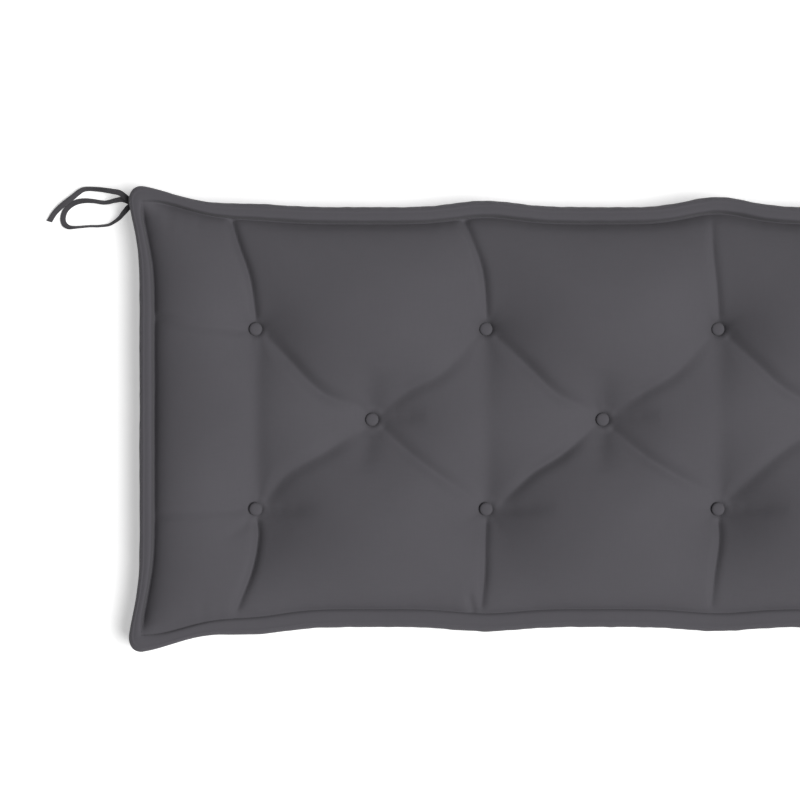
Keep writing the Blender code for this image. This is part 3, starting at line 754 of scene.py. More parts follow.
@dataclass
class CornerTies:
    """Two tie tails at each back corner: flat tapes of folded cloth, stitched along their open edge."""

    cloth: bpy.types.Material
    sewing: StitchMaker
    width: float = 0.0060
    thickness: float = 0.0016
    spacing: float = 0.0014           # between two sections of a tape
    curve_steps: int = 8
    tucked: float = 0.0030            # how far a sewn-in end runs on into the corner seam
    cut_slant: float = 0.0008         # how much longer one edge of a cut end is
    cut_reach: float = 0.0120
    rumple: float = 0.00012           # height of the tape's unevenness
    rumple_lengths: tuple[float, float] = (0.006, 0.018)
    rumple_seed: int = 14             # one less at the left corner, one more at the right
    stitches: StitchSizes = StitchSizes(pitch=0.0030, length=0.0024, thread=0.00022, wander=0.05, seed=21)
    stitch_across: float = 0.64       # where the stitches run, in half widths
    stitch_level: float = 0.74        # the height of their trough, in half thicknesses
    stitch_proud: float = 0.3         # how far they stand above it, in thread radii
    stitch_margin: int = 3            # sections at each end of a tape that have none
    # Half of the tape's section, from its folded edge to its open edge, in half widths and
    # half thicknesses: a round fold, a trough under the stitches and a slit between the layers.
    section: tuple[tuple[float, float], ...] = (
        (-1.00, 0.00), (-0.985, 0.42), (-0.93, 0.78), (-0.80, 0.97), (-0.50, 1.00), (-0.10, 0.93),
        (0.30, 0.96), (0.54, 0.98), (0.64, 0.74), (0.74, 0.98), (0.92, 0.94), (1.00, 0.52), (0.93, 0.00))

    def build(self) -> None:
        """Make and dress every tail, and attach it to the body."""
        for corner in Corner:
            for tail in (LONG_TAIL, LOOPED_TAIL):
                self.sew_on(tail, corner)

    def run_on(self, end: np.ndarray, before: np.ndarray) -> np.ndarray:
        """The point to which a sewn-in tape runs on from its last two points."""
        ahead = end[:3] - before[:3]
        return np.append(end[:3] + self.tucked * ahead / np.linalg.norm(ahead), end[3])

    def route(self, tail: Tail, corner: Corner) -> np.ndarray:
        """Lay out the middle line of a tail.

        Args:
            tail: The tail.
            corner: The corner that it is sewn to.

        Returns:
            Rows of x, y, z and the turn in radians, evenly spaced.
        """
        side = corner.value
        stops = [(side * stop.x, stop.y, stop.z, side * math.radians(stop.turn)) for stop in tail.stops]
        route = smooth_curve(np.array(stops), self.curve_steps)
        rows = [self.run_on(route[0], route[1]), *route]
        if tail.far_end is TailEnd.SEWN_IN:
            rows.append(self.run_on(route[-1], route[-2]))
        return evenly_spaced(np.array(rows), self.spacing)

    @staticmethod
    def frames(route: np.ndarray) -> tuple[np.ndarray, np.ndarray, np.ndarray]:
        """Stand a tape's section upright along its route.

        Args:
            route: Rows of x, y, z and turn.

        Returns:
            For each row, the directions ahead, along the tape's width and along its thickness.
        """
        ahead = np.gradient(route[:, :3], axis=0)
        ahead /= np.linalg.norm(ahead, axis=1, keepdims=True)
        level = np.cross(ahead, (0.0, 0.0, 1.0))
        level /= np.linalg.norm(level, axis=1, keepdims=True)
        rise = np.cross(level, ahead)
        cosine = np.cos(route[:, 3:4])
        sine = np.sin(route[:, 3:4])
        return ahead, cosine * level + sine * rise, cosine * rise - sine * level

    def tape(self, name: str, tail: Tail, corner: Corner, route: np.ndarray) -> bpy.types.Object:
        """Make a tail's tape.

        Args:
            name: The tape's name.
            tail: The tail.
            corner: The corner that it is sewn to.
            route: Its middle line.

        Returns:
            The tape.
        """
        ahead, wide, thick = self.frames(route)
        lower = [(across, -rise) for across, rise in reversed(self.section[1:-1])]
        outline = np.array([*self.section, *lower]) * (0.5 * self.width, 0.5 * self.thickness)
        across, rise = outline.T
        ripples = Ripples(*self.rumple_lengths, self.rumple_seed - int(corner.value))
        places = np.arange(len(route))
        to_end = self.spacing * (len(route) - 1 - places)
        cut = eased(1.0 - to_end / self.cut_reach) * (tail.far_end is TailEnd.FREE)
        points = []
        for place in places:
            rumpled = rise + self.rumple * ripples.at(self.spacing * place, across)
            shear = cut[place] * self.cut_slant * across / (0.5 * self.width)
            points.append(route[place, :3] + np.outer(across, wide[place]) + np.outer(rumpled, thick[place])
                          + np.outer(shear, ahead[place]))
        rings = rings_from(0, len(route), len(outline))
        faces = ring_faces(rings, anticlockwise=True)
        faces += [tuple(reversed(face)) for face in self.cap(rings[0])]
        faces += self.cap(rings[-1])
        return add_piece(name, np.vstack(points), faces, self.cloth)

    def sew_on(self, tail: Tail, corner: Corner) -> None:
        """Args:
            tail: The tail.
            corner: The corner that it is sewn to.
        """
        name = f"tie_{corner.name.lower()}_{tail.name}"
        route = self.route(tail, corner)
        tape = self.tape(f"{name}_tape", tail, corner, route)

        _, wide, thick = self.frames(route)
        offset = 0.5 * self.stitch_across * self.width
        lift = 0.5 * self.thickness * self.stitch_level + self.stitch_proud * self.stitches.thread
        inner = slice(self.stitch_margin, len(route) - self.stitch_margin)
        lines = [(route[:, :3] + offset * wide + side * lift * thick)[inner] for side in (1.0, -1.0)]
        sewn = self.sewing.sew(f"{name}_stitches", lines, self.stitches)

        for piece in (tape, sewn):
            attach(piece, BODY)
            report(piece)
        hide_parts(name)

    @staticmethod
    def cap(ring: range) -> list[Face]:
        """Close a tape's end with a strip of faces between its two sides.

        Args:
            ring: The point numbers of the section there.

        Returns:
            The faces, facing ahead along the route.
        """
        half = len(ring) // 2
        faces = [(ring[0], ring[1], ring[-1])]
        faces += [(ring[step], ring[step + 1], ring[-step - 1], ring[-step]) for step in range(1, half - 1)]
        faces.append((ring[half - 1], ring[half], ring[half + 1]))
        return faces


# --- Pad ---------------------------------------------------------------------------------------

@dataclass(frozen=True)
class EdgeRoll:
    """An edge's roll: its width, its groove and how far the corners flare out past it."""

    roll: float
    flare: float
    flare_reach: float                # distance from the corner over which the flare fades
    groove: float                     # depth of the stitched groove below the roll's top
    groove_start: float               # distance from the corner over which the groove deepens

    def flare_at(self, distance: np.ndarray) -> np.ndarray:
        """How far the edge stands out at distances from the corner."""
        return self.flare * np.exp(-(distance / self.flare_reach) ** 2)

    def groove_at(self, distance: np.ndarray) -> np.ndarray:
        """How deep the groove is at distances from the corner."""
        return self.groove * eased(distance / self.groove_start)


@dataclass(frozen=True)
class TuftColumn:
    """A column of tufts, how far the back and front edges bulge out beside it, and its valley."""

    x: float
    back_bulge: float
    front_bulge: float
    valley: float                     # how sharp its valley is half-way, against the valley's ends


@dataclass(frozen=True)
class Crease:
    """A fold of the cover: the points that it runs through and its depth at each of them."""

    points: tuple[tuple[float, float], ...]
    depths: tuple[float, ...]
    both_ends: bool = False           # made again, mirrored, at the pad's other end
    breadth: float = 1.0              # how broad it is, against the sharpest creases


CREASES = (
    # end column, from the back seam to its tuft, and from the front tuft to the front seam
    Crease(((-0.3953, 0.2099), (-0.3881, 0.1858), (-0.3758, 0.1499), (-0.3696, 0.1060)),
           (0.0052, 0.0052, 0.0050, 0.0034), True),
    Crease(((-0.3693, -0.1060), (-0.3674, -0.1260), (-0.3734, -0.1598), (-0.3888, -0.1999)),
           (0.0042, 0.0046, 0.0052, 0.0028), True),
    # inner columns, likewise
    Crease(((-0.1473, 0.2099), (-0.1390, 0.1898), (-0.1280, 0.1549), (-0.1235, 0.1060)),
           (0.0042, 0.0036, 0.0042, 0.0028)),
    Crease(((-0.1243, -0.1050), (-0.1256, -0.1350), (-0.1263, -0.1650), (-0.1293, -0.1980)),
           (0.0030, 0.0032, 0.0037, 0.0024)),
    Crease(((0.1165, 0.2080), (0.1164, 0.1800), (0.1202, 0.1399), (0.1237, 0.1060)),
           (0.0012, 0.0022, 0.0026, 0.0024)),
    Crease(((0.1227, -0.1050), (0.1234, -0.1300), (0.1182, -0.1649), (0.1157, -0.1960)),
           (0.0032, 0.0038, 0.0030, 0.0016)),
    # from the end columns to the outer middle tufts
    Crease(((-0.3603, 0.0917), (-0.3353, 0.0645), (-0.2987, 0.0283), (-0.2562, 0.0131)),
           (0.0029, 0.0066, 0.0059, 0.0004), True, 1.55),
    Crease(((-0.2564, -0.0094), (-0.2919, -0.0321), (-0.3356, -0.0580), (-0.3606, -0.0896)),
           (0.0013, 0.0050, 0.0043, 0.0024), True, 1.85),
    # from the left middle tuft to the second column
    Crease(((-0.2364, 0.0086), (-0.2065, 0.0316), (-0.1706, 0.0505), (-0.1375, 0.0846)),
           (0.0032, 0.0054, 0.0043, 0.0015), breadth=1.85),
    Crease(((-0.2363, -0.0084), (-0.2075, -0.0346), (-0.1714, -0.0621), (-0.1425, -0.0809)),
           (0.0037, 0.0053, 0.0044, 0.0010), breadth=1.55),
    # from the second column to the centre tuft
    Crease(((-0.1143, 0.0891), (-0.0804, 0.0562), (-0.0485, 0.0265), (-0.0117, 0.0106)),
           (0.0031, 0.0066, 0.0051, 0.0007), breadth=1.55),
    Crease(((-0.0115, -0.0095), (-0.0436, -0.0369), (-0.0749, -0.0567), (-0.1060, -0.0867)),
           (0.0013, 0.0064, 0.0057, 0.0024), breadth=1.45),
    # from the centre tuft to the third column
    Crease(((0.0096, 0.0071), (0.0423, 0.0294), (0.0770, 0.0504), (0.1090, 0.0844)),
           (0.0028, 0.0059, 0.0049, 0.0022), breadth=1.85),
    Crease(((0.0097, -0.0104), (0.0437, -0.0389), (0.0785, -0.0602), (0.1053, -0.0739)),
           (0.0035, 0.0055, 0.0044, 0.0013), breadth=1.55),
    # from the third column to the right middle tuft
    Crease(((0.1337, 0.0866), (0.1629, 0.0590), (0.1921, 0.0323), (0.2358, 0.0096)),
           (0.0042, 0.0054, 0.0052, 0.0026), breadth=1.55),
    Crease(((0.1336, -0.0855), (0.1625, -0.0567), (0.1978, -0.0275), (0.2357, -0.0094)),
           (0.0029, 0.0041, 0.0044, 0.0024), breadth=1.85),
)

DEEPEST_CREASE = max(max(crease.depths) for crease in CREASES)

# Faint folds that the solids leave out.
FAINT_FOLDS = (
    # across the end panels, from the seam to the end tufts
    Crease(((-0.4720, 0.1080), (-0.4430, 0.1030), (-0.4130, 0.0985), (-0.3830, 0.0975)),
           (0.0028, 0.0018, 0.0020, 0.0024), True),
    Crease(((-0.4720, -0.1020), (-0.4430, -0.0990), (-0.4130, -0.0970), (-0.3830, -0.0955)),
           (0.0014, 0.0012, 0.0014, 0.0018), True),
    # across from the middle tufts towards the right
    Crease(((-0.2330, 0.0045), (-0.2200, 0.0050), (-0.2050, 0.0045), (-0.1880, 0.0035)),
           (0.0010, 0.0028, 0.0026, 0.0000), breadth=1.4),
    Crease(((0.0130, 0.0050), (0.0260, 0.0055), (0.0410, 0.0050), (0.0600, 0.0040)),
           (0.0010, 0.0028, 0.0026, 0.0000), breadth=1.4),
    Crease(((0.2590, 0.0040), (0.2720, 0.0045), (0.2870, 0.0040), (0.3040, 0.0030)),
           (0.0010, 0.0026, 0.0024, 0.0000), breadth=1.4),
    # across from the front tufts towards the right
    Crease(((-0.3580, -0.0940), (-0.3420, -0.0935), (-0.3250, -0.0940), (-0.3020, -0.0950)),
           (0.0012, 0.0030, 0.0028, 0.0000), breadth=1.4),
    Crease(((-0.1120, -0.0940), (-0.0960, -0.0930), (-0.0760, -0.0930), (-0.0500, -0.0940)),
           (0.0012, 0.0034, 0.0030, 0.0000), breadth=1.4),
    Crease(((0.1350, -0.0940), (0.1510, -0.0930), (0.1710, -0.0930), (0.1960, -0.0940)),
           (0.0012, 0.0034, 0.0030, 0.0000), breadth=1.4),
    # straight up and down from the middle tufts
    Crease(((-0.2420, 0.0580), (-0.2455, 0.0420), (-0.2490, 0.0270), (-0.2500, 0.0130)),
           (0.0000, 0.0021, 0.0032, 0.0026), breadth=2.3),
    Crease(((-0.2500, -0.0130), (-0.2515, -0.0270), (-0.2525, -0.0410), (-0.2530, -0.0580)),
           (0.0026, 0.0034, 0.0023, 0.0000), breadth=2.0),
    Crease(((0.0010, 0.0540), (-0.0010, 0.0400), (-0.0030, 0.0260), (-0.0040, 0.0130)),
           (0.0000, 0.0019, 0.0030, 0.0024), breadth=2.3),
    Crease(((-0.0040, -0.0130), (-0.0030, -0.0270), (-0.0015, -0.0410), (0.0005, -0.0580)),
           (0.0028, 0.0036, 0.0025, 0.0000), breadth=2.0),
    Crease(((0.2470, 0.0540), (0.2446, 0.0400), (0.2424, 0.0260), (0.2416, 0.0130)),
           (0.0000, 0.0018, 0.0029, 0.0024), breadth=2.3),
    Crease(((0.2424, -0.0130), (0.2420, -0.0270), (0.2416, -0.0410), (0.2412, -0.0560)),
           (0.0024, 0.0031, 0.0021, 0.0000), breadth=2.0),
    # a small tuck beside the second column's front crease
    Crease(((-0.1425, -0.1820), (-0.1412, -0.1900), (-0.1396, -0.1970), (-0.1380, -0.2050)),
           (0.0004, 0.0024, 0.0034, 0.0030), breadth=0.65),
    # a short tuck below the end column's front tuft
    Crease(((-0.4020, -0.1280), (-0.3960, -0.1230), (-0.3900, -0.1180), (-0.3820, -0.1120)),
           (0.0004, 0.0009, 0.0011, 0.0012)),
)


class Nearest(NamedTuple):
    """Where a fold is nearest to each of many places: how far, its value there, and the way to it."""

    distance: np.ndarray
    value: np.ndarray
    to_x: np.ndarray
    to_y: np.ndarray
    breadth: float = 1.0


@dataclass
class PadForm:
    """The pad's shape: its outline, its rolled edges and the height of its cover."""

    # The outline, the rolls and their grooves.
    half_length: float = 0.4938
    back_half_depth: float = 0.2265
    front_half_depth: float = 0.2215
    corner_radius: float = 0.014
    back: EdgeRoll = EdgeRoll(0.0175, 0.0240, 0.060, 0.0100, 0.030)
    front: EdgeRoll = EdgeRoll(0.0195, 0.0280, 0.064, 0.0018, 0.030)
    end: EdgeRoll = EdgeRoll(0.0155, 0.0130, 0.042, 0.0120, 0.016)
    columns: tuple[TuftColumn, ...] = (
        TuftColumn(-0.3700, 0.0035, 0.0075, 1.0), TuftColumn(-0.1243, 0.0070, 0.0048, 0.4),
        TuftColumn(0.1230, 0.0110, 0.0046, 0.3), TuftColumn(0.3700, 0.0035, 0.0075, 1.0))
    bulge_reach: float = 0.045        # along the edge, over which a column's bulge fades
    flare_fall_x: int = 6             # powers by which flares and bulges fade towards the middle
    flare_fall_y: int = 3
    roll_height: float = 0.052
    roll_radius: float = 0.0085
    corner_pinch: float = 0.005       # how far the upper roll is drawn down at a corner
    corner_pinch_reach: float = 0.055
    column_dip: float = 0.0022        # how far it is drawn down beside a column of tufts
    column_dip_reach: float = 0.050
    corner_groove: float = 0.0010     # depth to which the grooves run out at a corner
    rim_wall: float = 0.50            # share of a groove's depth that is a steep wall beside it
    rim_wall_reach: float = 0.0042

    # The tufts, and how the cover settles between them.
    row_back_y: float = 0.0965
    row_front_y: float = -0.0955
    middle_xs: tuple[float, ...] = (-0.2459, 0.0, 0.2459)
    seat_height: float = 0.0415       # of the flat on which a button sits
    seat_radius: float = 0.0066
    seat_firmness: float = 0.0015     # distance over which the cover leaves that flat
    free_height: float = 0.1385       # to which the filling would lift a cover that nothing holds
    tuft_reach: float = 0.080         # distance over which the cover rises towards that height
    pit_depth: float = 0.0046         # how far a button is drawn in below the cover right round it
    pit_reach: float = 0.0034
    cone_slope: float = 0.36          # how much steeper the cover falls to a tuft than a stretched film
    front_cone: float = 1.78          # the front row's cones against the others
    cone_reach: float = 0.068
    sweeps: int = 520                 # rounds in which the cover's height is worked out
    overshoot: float = 1.95           # how far each round moves a point, against where it is drawn

    # The folds.
    curve_steps: int = 6              # pieces of a fold between two of its points
    crease_clearance: float = 0.0078  # distance from a tuft's middle within which no fold shows
    crease_bend: float = 120.0        # change of slope across a crease, for each metre of its depth
    crease_bend_width: float = 0.0030
    crease_reach: float = 0.0048      # half the width of a crease's trough
    carved: float = 0.62              # share of a crease's depth that is a trough with close sides
    fold_line_depth: float = 0.0036   # of the sharper line at the bottom of a crease
    fold_line_width: float = 0.0025
    faint_reach: float = 0.0060       # half the width of a faint fold
    valley_bend: float = 0.60         # change of slope across the valley between a column's tufts
    valley_bend_width: float = 0.0080
    valley_depth: float = 0.0014
    valley_reach: float = 0.012
    gathered: float = 0.55            # how much closer the mesh's points lie along a crease or an edge
    gather_reach: float = 0.0052

    # The fine unevenness.
    lump: float = 0.00045             # height of the filling's broad unevenness
    lumps: Ripples = Ripples(0.055, 0.130, 3)
    pucker: float = 0.00028           # height of the small puckers along the seams
    pucker_reach: float = 0.008
    pucker_stretch: float = 0.15      # how slowly they change away from the seam, against along it
    side_puckers: Ripples = Ripples(0.009, 0.026, 5)
    end_puckers: Ripples = Ripples(0.009, 0.026, 7)
    pleat: float = 0.00045            # height of the small pleats round a tuft
    pleat_reach: float = 0.012
    pleats: tuple[Wave, ...] = (Wave(7.0, 1.0, 1.7), Wave(11.0, 0.7, 2.9))

    # The underside.
    under_tuft_depth: float = 0.010
    under_tuft_radius: float = 0.045
    under_pleats: tuple[Wave, ...] = (Wave(6.0, 0.16, 1.0), Wave(9.0, 0.12, 2.3))
    under_plain: float = 0.85         # share of the way in to a tuft at which its pleats end
    under_groove_depth: float = 0.003
    under_groove_width: float = 0.016

    @property
    def depth(self) -> float:
        """From the back edge to the front edge, without bulges and flares."""
        return self.back_half_depth + self.front_half_depth

    def bulges(self, x: np.ndarray, back: bool) -> np.ndarray:
        """How far the back or front edge stands out beside the columns of tufts."""
        sizes = [column.back_bulge if back else column.front_bulge for column in self.columns]
        return sum(size * np.exp(-((x - column.x) / self.bulge_reach) ** 2)
                   for size, column in zip(sizes, self.columns))

    def plan(self, u: np.ndarray, v: np.ndarray, inset: float) -> tuple[np.ndarray, np.ndarray]:
        """Place points of the cover in plan.

        Args:
            u: From 0 to 1 along the length of the rectangle inside the outline.
            v: From 0 to 1 from its front to its back.
            inset: How many roll widths the rectangle lies inside the outline.

        Returns:
            The points' x and y.
        """
        half = self.half_length - inset * self.end.roll
        back = self.back_half_depth - inset * self.back.roll
        front = self.front_half_depth - inset * self.front.roll
        x = half * (2.0 * u - 1.0)
        y = back * v - front * (1.0 - v)
        radius = self.corner_radius * max(0.0, 1.0 - inset)
        if radius > 0.0:
            middle = 0.5 * (back - front)
            centre_x = half - radius
            centre_y = 0.5 * (back + front) - radius
            over_x = np.maximum(np.abs(x) - centre_x, 0.0)
            over_y = np.maximum(np.abs(y - middle) - centre_y, 0.0)
            reach = np.hypot(over_x, over_y)
            in_corner = (over_x > 0.0) & (over_y > 0.0)
            shrink = np.where(in_corner, np.maximum(over_x, over_y) / np.maximum(reach, 1e-9), 1.0)
            x = np.where(in_corner, np.sign(x) * (centre_x + over_x * shrink), x)
            y = np.where(in_corner, middle + np.sign(y - middle) * (centre_y + over_y * shrink), y)
        to_end = half - np.abs(x)
        to_side = np.minimum(back - y, y + front)
        weight_y = np.clip(np.where(y > 0.0, y / back, -y / front), 0.0, 1.0) ** self.flare_fall_y
        weight_x = (np.abs(x) / half) ** self.flare_fall_x
        out_back = self.back.flare_at(to_end) + self.bulges(x, True)
        out_front = self.front.flare_at(to_end) + self.bulges(x, False)
        return (x + np.sign(x) * weight_x * self.end.flare_at(to_side),
                y + weight_y * np.where(y > 0.0, out_back, -out_front))

    def rim_drop(self, x: np.ndarray, y: np.ndarray) -> np.ndarray:
        """Work out how far the upper roll is drawn down at the corners and beside the columns.

        Args:
            x: The places' x.
            y: The places' y.

        Returns:
            How much lower the roll is at each place.
        """
        to_end = np.maximum(self.half_length - np.abs(x), 0.0)
        to_side = np.maximum(np.where(y > 0.0, self.back_half_depth - y, self.front_half_depth + y), 0.0)
        drop = self.corner_pinch * np.exp(-(np.hypot(to_end, to_side) / self.corner_pinch_reach) ** 2)
        beside = np.exp(-(to_side / self.column_dip_reach) ** 2)
        for column in self.columns:
            drop = drop + beside * self.column_dip * np.exp(-((x - column.x) / self.column_dip_reach) ** 2)
        return drop

    def groove_depths(self, u: np.ndarray, v: np.ndarray) -> tuple[np.ndarray, np.ndarray]:
        """Depths of the nearer end's groove and of the nearer side's, both less near a corner."""
        to_end, to_side = self.to_rim(u, v)
        return (self.end.groove_at(to_side),
                np.where(v > 0.5, self.back.groove_at(to_end), self.front.groove_at(to_end)))

    def groove_depth(self, u: np.ndarray, v: np.ndarray) -> np.ndarray:
        """Work out how deep the stitched groove is round the top panel.

        Args:
            u: From 0 to 1 along the length.
            v: From 0 to 1 from the front to the back.

        Returns:
            The depth below the roll's top, which is small at the corners.
        """
        to_end, to_side = self.to_rim(u, v)
        beside_end, beside_side = self.groove_depths(u, v)
        return self.corner_groove + np.where(to_end < to_side, beside_end, beside_side)

    def tufts(self) -> list[tuple[str, float, float]]:
        """List the tufts.

        Returns:
            Every tuft's name and its x and y.
        """
        places = []
        for number, column in enumerate(self.columns, start=1):
            places.append((f"back_{number}", column.x, self.row_back_y))
            places.append((f"front_{number}", column.x, self.row_front_y))
        for number, x in enumerate(self.middle_xs, start=1):
            places.append((f"middle_{number}", x, 0.0))
        return places

    def to_tuft(self, x: np.ndarray, y: np.ndarray) -> np.ndarray:
        """Distance of each place in plan from the nearest tuft."""
        return np.minimum.reduce([np.hypot(x - tuft_x, y - tuft_y) for _, tuft_x, tuft_y in self.tufts()])

    def fold_lines(self, folds: tuple[Crease, ...]) -> list[tuple[np.ndarray, np.ndarray, float]]:
        """Work out folds as curves.

        Args:
            folds: The folds as listed.

        Returns:
            Each fold's points in plan, its depth at each of them and its breadth.
        """
        lines = []
        for fold in folds:
            signs = (1.0, -1.0) if fold.both_ends else (1.0,)
            for sign in signs:
                curve = smooth_curve(np.array([(sign * x, y) for x, y in fold.points]), self.curve_steps)
                stations = np.linspace(0.0, len(fold.points) - 1.0, len(curve))
                depths = np.interp(stations, np.arange(len(fold.depths)), fold.depths)
                lines.append((curve, depths, fold.breadth))
        return lines

    @staticmethod
    def nearest_on(curve: np.ndarray, values: np.ndarray, x: np.ndarray, y: np.ndarray) -> Nearest:
        """Measure from places in plan to a curve.

        Args:
            curve: The curve's points.
            values: A value at each of them.
            x: The places' x.
            y: The places' y.

        Returns:
            Where the curve is nearest to each place.
        """
        found = Nearest(np.full(x.shape, np.inf), np.zeros(x.shape), np.zeros(x.shape), np.zeros(x.shape))
        for start, end, first, last in zip(curve[:-1], curve[1:], values[:-1], values[1:]):
            run = end - start
            share = np.clip(((x - start[0]) * run[0] + (y - start[1]) * run[1]) / (run @ run), 0.0, 1.0)
            to_x = start[0] + share * run[0] - x
            to_y = start[1] + share * run[1] - y
            distance = np.hypot(to_x, to_y)
            closer = distance < found.distance
            found = Nearest(np.where(closer, distance, found.distance),
                            np.where(closer, first + share * (last - first), found.value),
                            np.where(closer, to_x, found.to_x), np.where(closer, to_y, found.to_y))
        return found

    def near_folds(self, folds: tuple[Crease, ...], x: np.ndarray, y: np.ndarray) -> list[Nearest]:
        """Measure from places in plan to every fold."""
        return [self.nearest_on(curve, depths, x, y)._replace(breadth=breadth)
                for curve, depths, breadth in self.fold_lines(folds)]

    def near_valleys(self, x: np.ndarray, y: np.ndarray) -> list[Nearest]:
        """Measure from places in plan to the valley between each column's two tufts.

        Args:
            x: The places' x.
            y: The places' y.

        Returns:
            Where each valley is nearest to each place, and how sharp it is there.
        """
        valleys = []
        for column in self.columns:
            line = np.array([(column.x, self.row_back_y), (column.x, 0.0), (column.x, self.row_front_y)])
            valleys.append(self.nearest_on(line, np.array([1.0, column.valley, 1.0]), x, y))
        return valleys

    def off_tufts(self, x: np.ndarray, y: np.ndarray) -> np.ndarray:
        """How far folds have come up at places in plan: 0 on a tuft, 1 a little way out from it."""
        return eased(self.to_tuft(x, y) / self.crease_clearance - 1.0)

    def bend(self, x: np.ndarray, y: np.ndarray) -> np.ndarray:
        """Work out how sharply the creases, the valleys and the tufts' cones bend the settled cover.

        Args:
            x: The places' x.
            y: The places' y.

        Returns:
            The change of slope for each metre, at each place.
        """
        bends = [(near.distance, self.crease_bend * near.value / near.breadth,
                  self.crease_bend_width * near.breadth) for near in self.near_folds(CREASES, x, y)]
        bends += [(near.distance, self.valley_bend * near.value, self.valley_bend_width)
                  for near in self.near_valleys(x, y)]
        total = np.zeros(x.shape)
        for distance, change, width in bends:
            spread = np.exp(-(distance / width) ** 2) / (width * math.sqrt(math.pi))
            total = np.maximum(total, change * spread)
        to_tuft = self.to_tuft(x, y)
        in_front = eased(0.5 + 0.5 * y / self.row_front_y)
        steepness = self.cone_slope * (1.0 + (self.front_cone - 1.0) * in_front)
        cone = steepness * np.exp(-(to_tuft / self.cone_reach) ** 2) / np.maximum(to_tuft, self.seat_radius)
        return total * self.off_tufts(x, y) + cone

    def gathering(self, x: np.ndarray, y: np.ndarray) -> tuple[np.ndarray, np.ndarray]:
        """Work out how far points move towards creases and seats' edges, which get a closer mesh.

        Args:
            x: The points' x.
            y: The points' y.

        Returns:
            The move of each point along X and along Y.
        """
        nearest = np.full(x.shape, np.inf)
        move_x = np.zeros(x.shape)
        move_y = np.zeros(x.shape)
        for near in self.near_folds(CREASES, x, y):
            closer = near.distance < nearest
            nearest = np.where(closer, near.distance, nearest)
            move_x = np.where(closer, near.to_x, move_x)
            move_y = np.where(closer, near.to_y, move_y)
        share = self.gathered * np.exp(-(nearest / self.gather_reach) ** 2) * self.off_tufts(x, y)
        move_x = share * move_x
        move_y = share * move_y
        for _, tuft_x, tuft_y in self.tufts():
            distance = np.maximum(np.hypot(x - tuft_x, y - tuft_y), 1e-6)
            off_edge = distance - self.seat_radius
            share = self.gathered * off_edge * np.exp(-(off_edge / self.gather_reach) ** 2) / distance
            move_x = move_x - share * (x - tuft_x)
            move_y = move_y - share * (y - tuft_y)
        return move_x, move_y

    def to_rim(self, u: np.ndarray, v: np.ndarray) -> tuple[np.ndarray, np.ndarray]:
        """Distance of the top panel's points from its nearer end and from its nearer side."""
        return (np.minimum(u, 1.0 - u) * 2.0 * self.half_length,
                np.minimum(v, 1.0 - v) * self.depth)

    def closer_to_rim(self, u: np.ndarray, v: np.ndarray) -> tuple[np.ndarray, np.ndarray]:
        """Move points of the top panel closer to its rim, which gives the rim a closer mesh.

        Args:
            u: The points' share of the length.
            v: Their share of the depth.

        Returns:
            The moved points' shares.
        """
        to_end, to_side = self.to_rim(u, v)
        move_end = self.gathered * to_end * np.exp(-(to_end / self.gather_reach) ** 2)
        move_side = self.gathered * to_side * np.exp(-(to_side / self.gather_reach) ** 2)
        return (u + np.where(u > 0.5, move_end, -move_end) / (2.0 * self.half_length),
                v + np.where(v > 0.5, move_side, -move_side) / self.depth)

    def wall(self, u: np.ndarray, v: np.ndarray) -> np.ndarray:
        """Work out how far the cover's edge is drawn down into the groove, below the settled cover.

        Args:
            u: The points' share of the length.
            v: Their share of the depth.

        Returns:
            How much lower each point is.
        """
        to_end, to_side = self.to_rim(u, v)
        beside_end, beside_side = self.groove_depths(u, v)
        return self.rim_wall * np.maximum(beside_end * np.exp(-to_end / self.rim_wall_reach),
                                          beside_side * np.exp(-to_side / self.rim_wall_reach))

    def fold_relief(self, x: np.ndarray, y: np.ndarray) -> np.ndarray:
        """Work out how deep the folds are.

        Args:
            x: The places' x.
            y: The places' y.

        Returns:
            The depth below the smooth cover at each place.
        """
        trough = np.zeros(x.shape)
        line = np.zeros(x.shape)
        for near in self.near_folds(CREASES, x, y):
            sides = np.exp(-(near.distance / (self.crease_reach * near.breadth)) ** 2)
            trough = np.maximum(trough, self.carved * near.value * sides)
            sharp = self.fold_line_depth * near.value / DEEPEST_CREASE / near.breadth ** 3
            folded = np.exp(-(near.distance / (self.fold_line_width * near.breadth)) ** 2)
            line = np.maximum(line, sharp * folded)
        for near in self.near_valleys(x, y):
            sides = np.exp(-(near.distance / self.valley_reach) ** 2)
            trough = np.maximum(trough, self.valley_depth * near.value * sides)
        faint = np.zeros(x.shape)
        for near in self.near_folds(FAINT_FOLDS, x, y):
            reach = self.faint_reach * near.breadth
            faint = np.maximum(faint, near.value * np.exp(-(near.distance / reach) ** 2))
        return (trough + line + faint) * self.off_tufts(x, y)

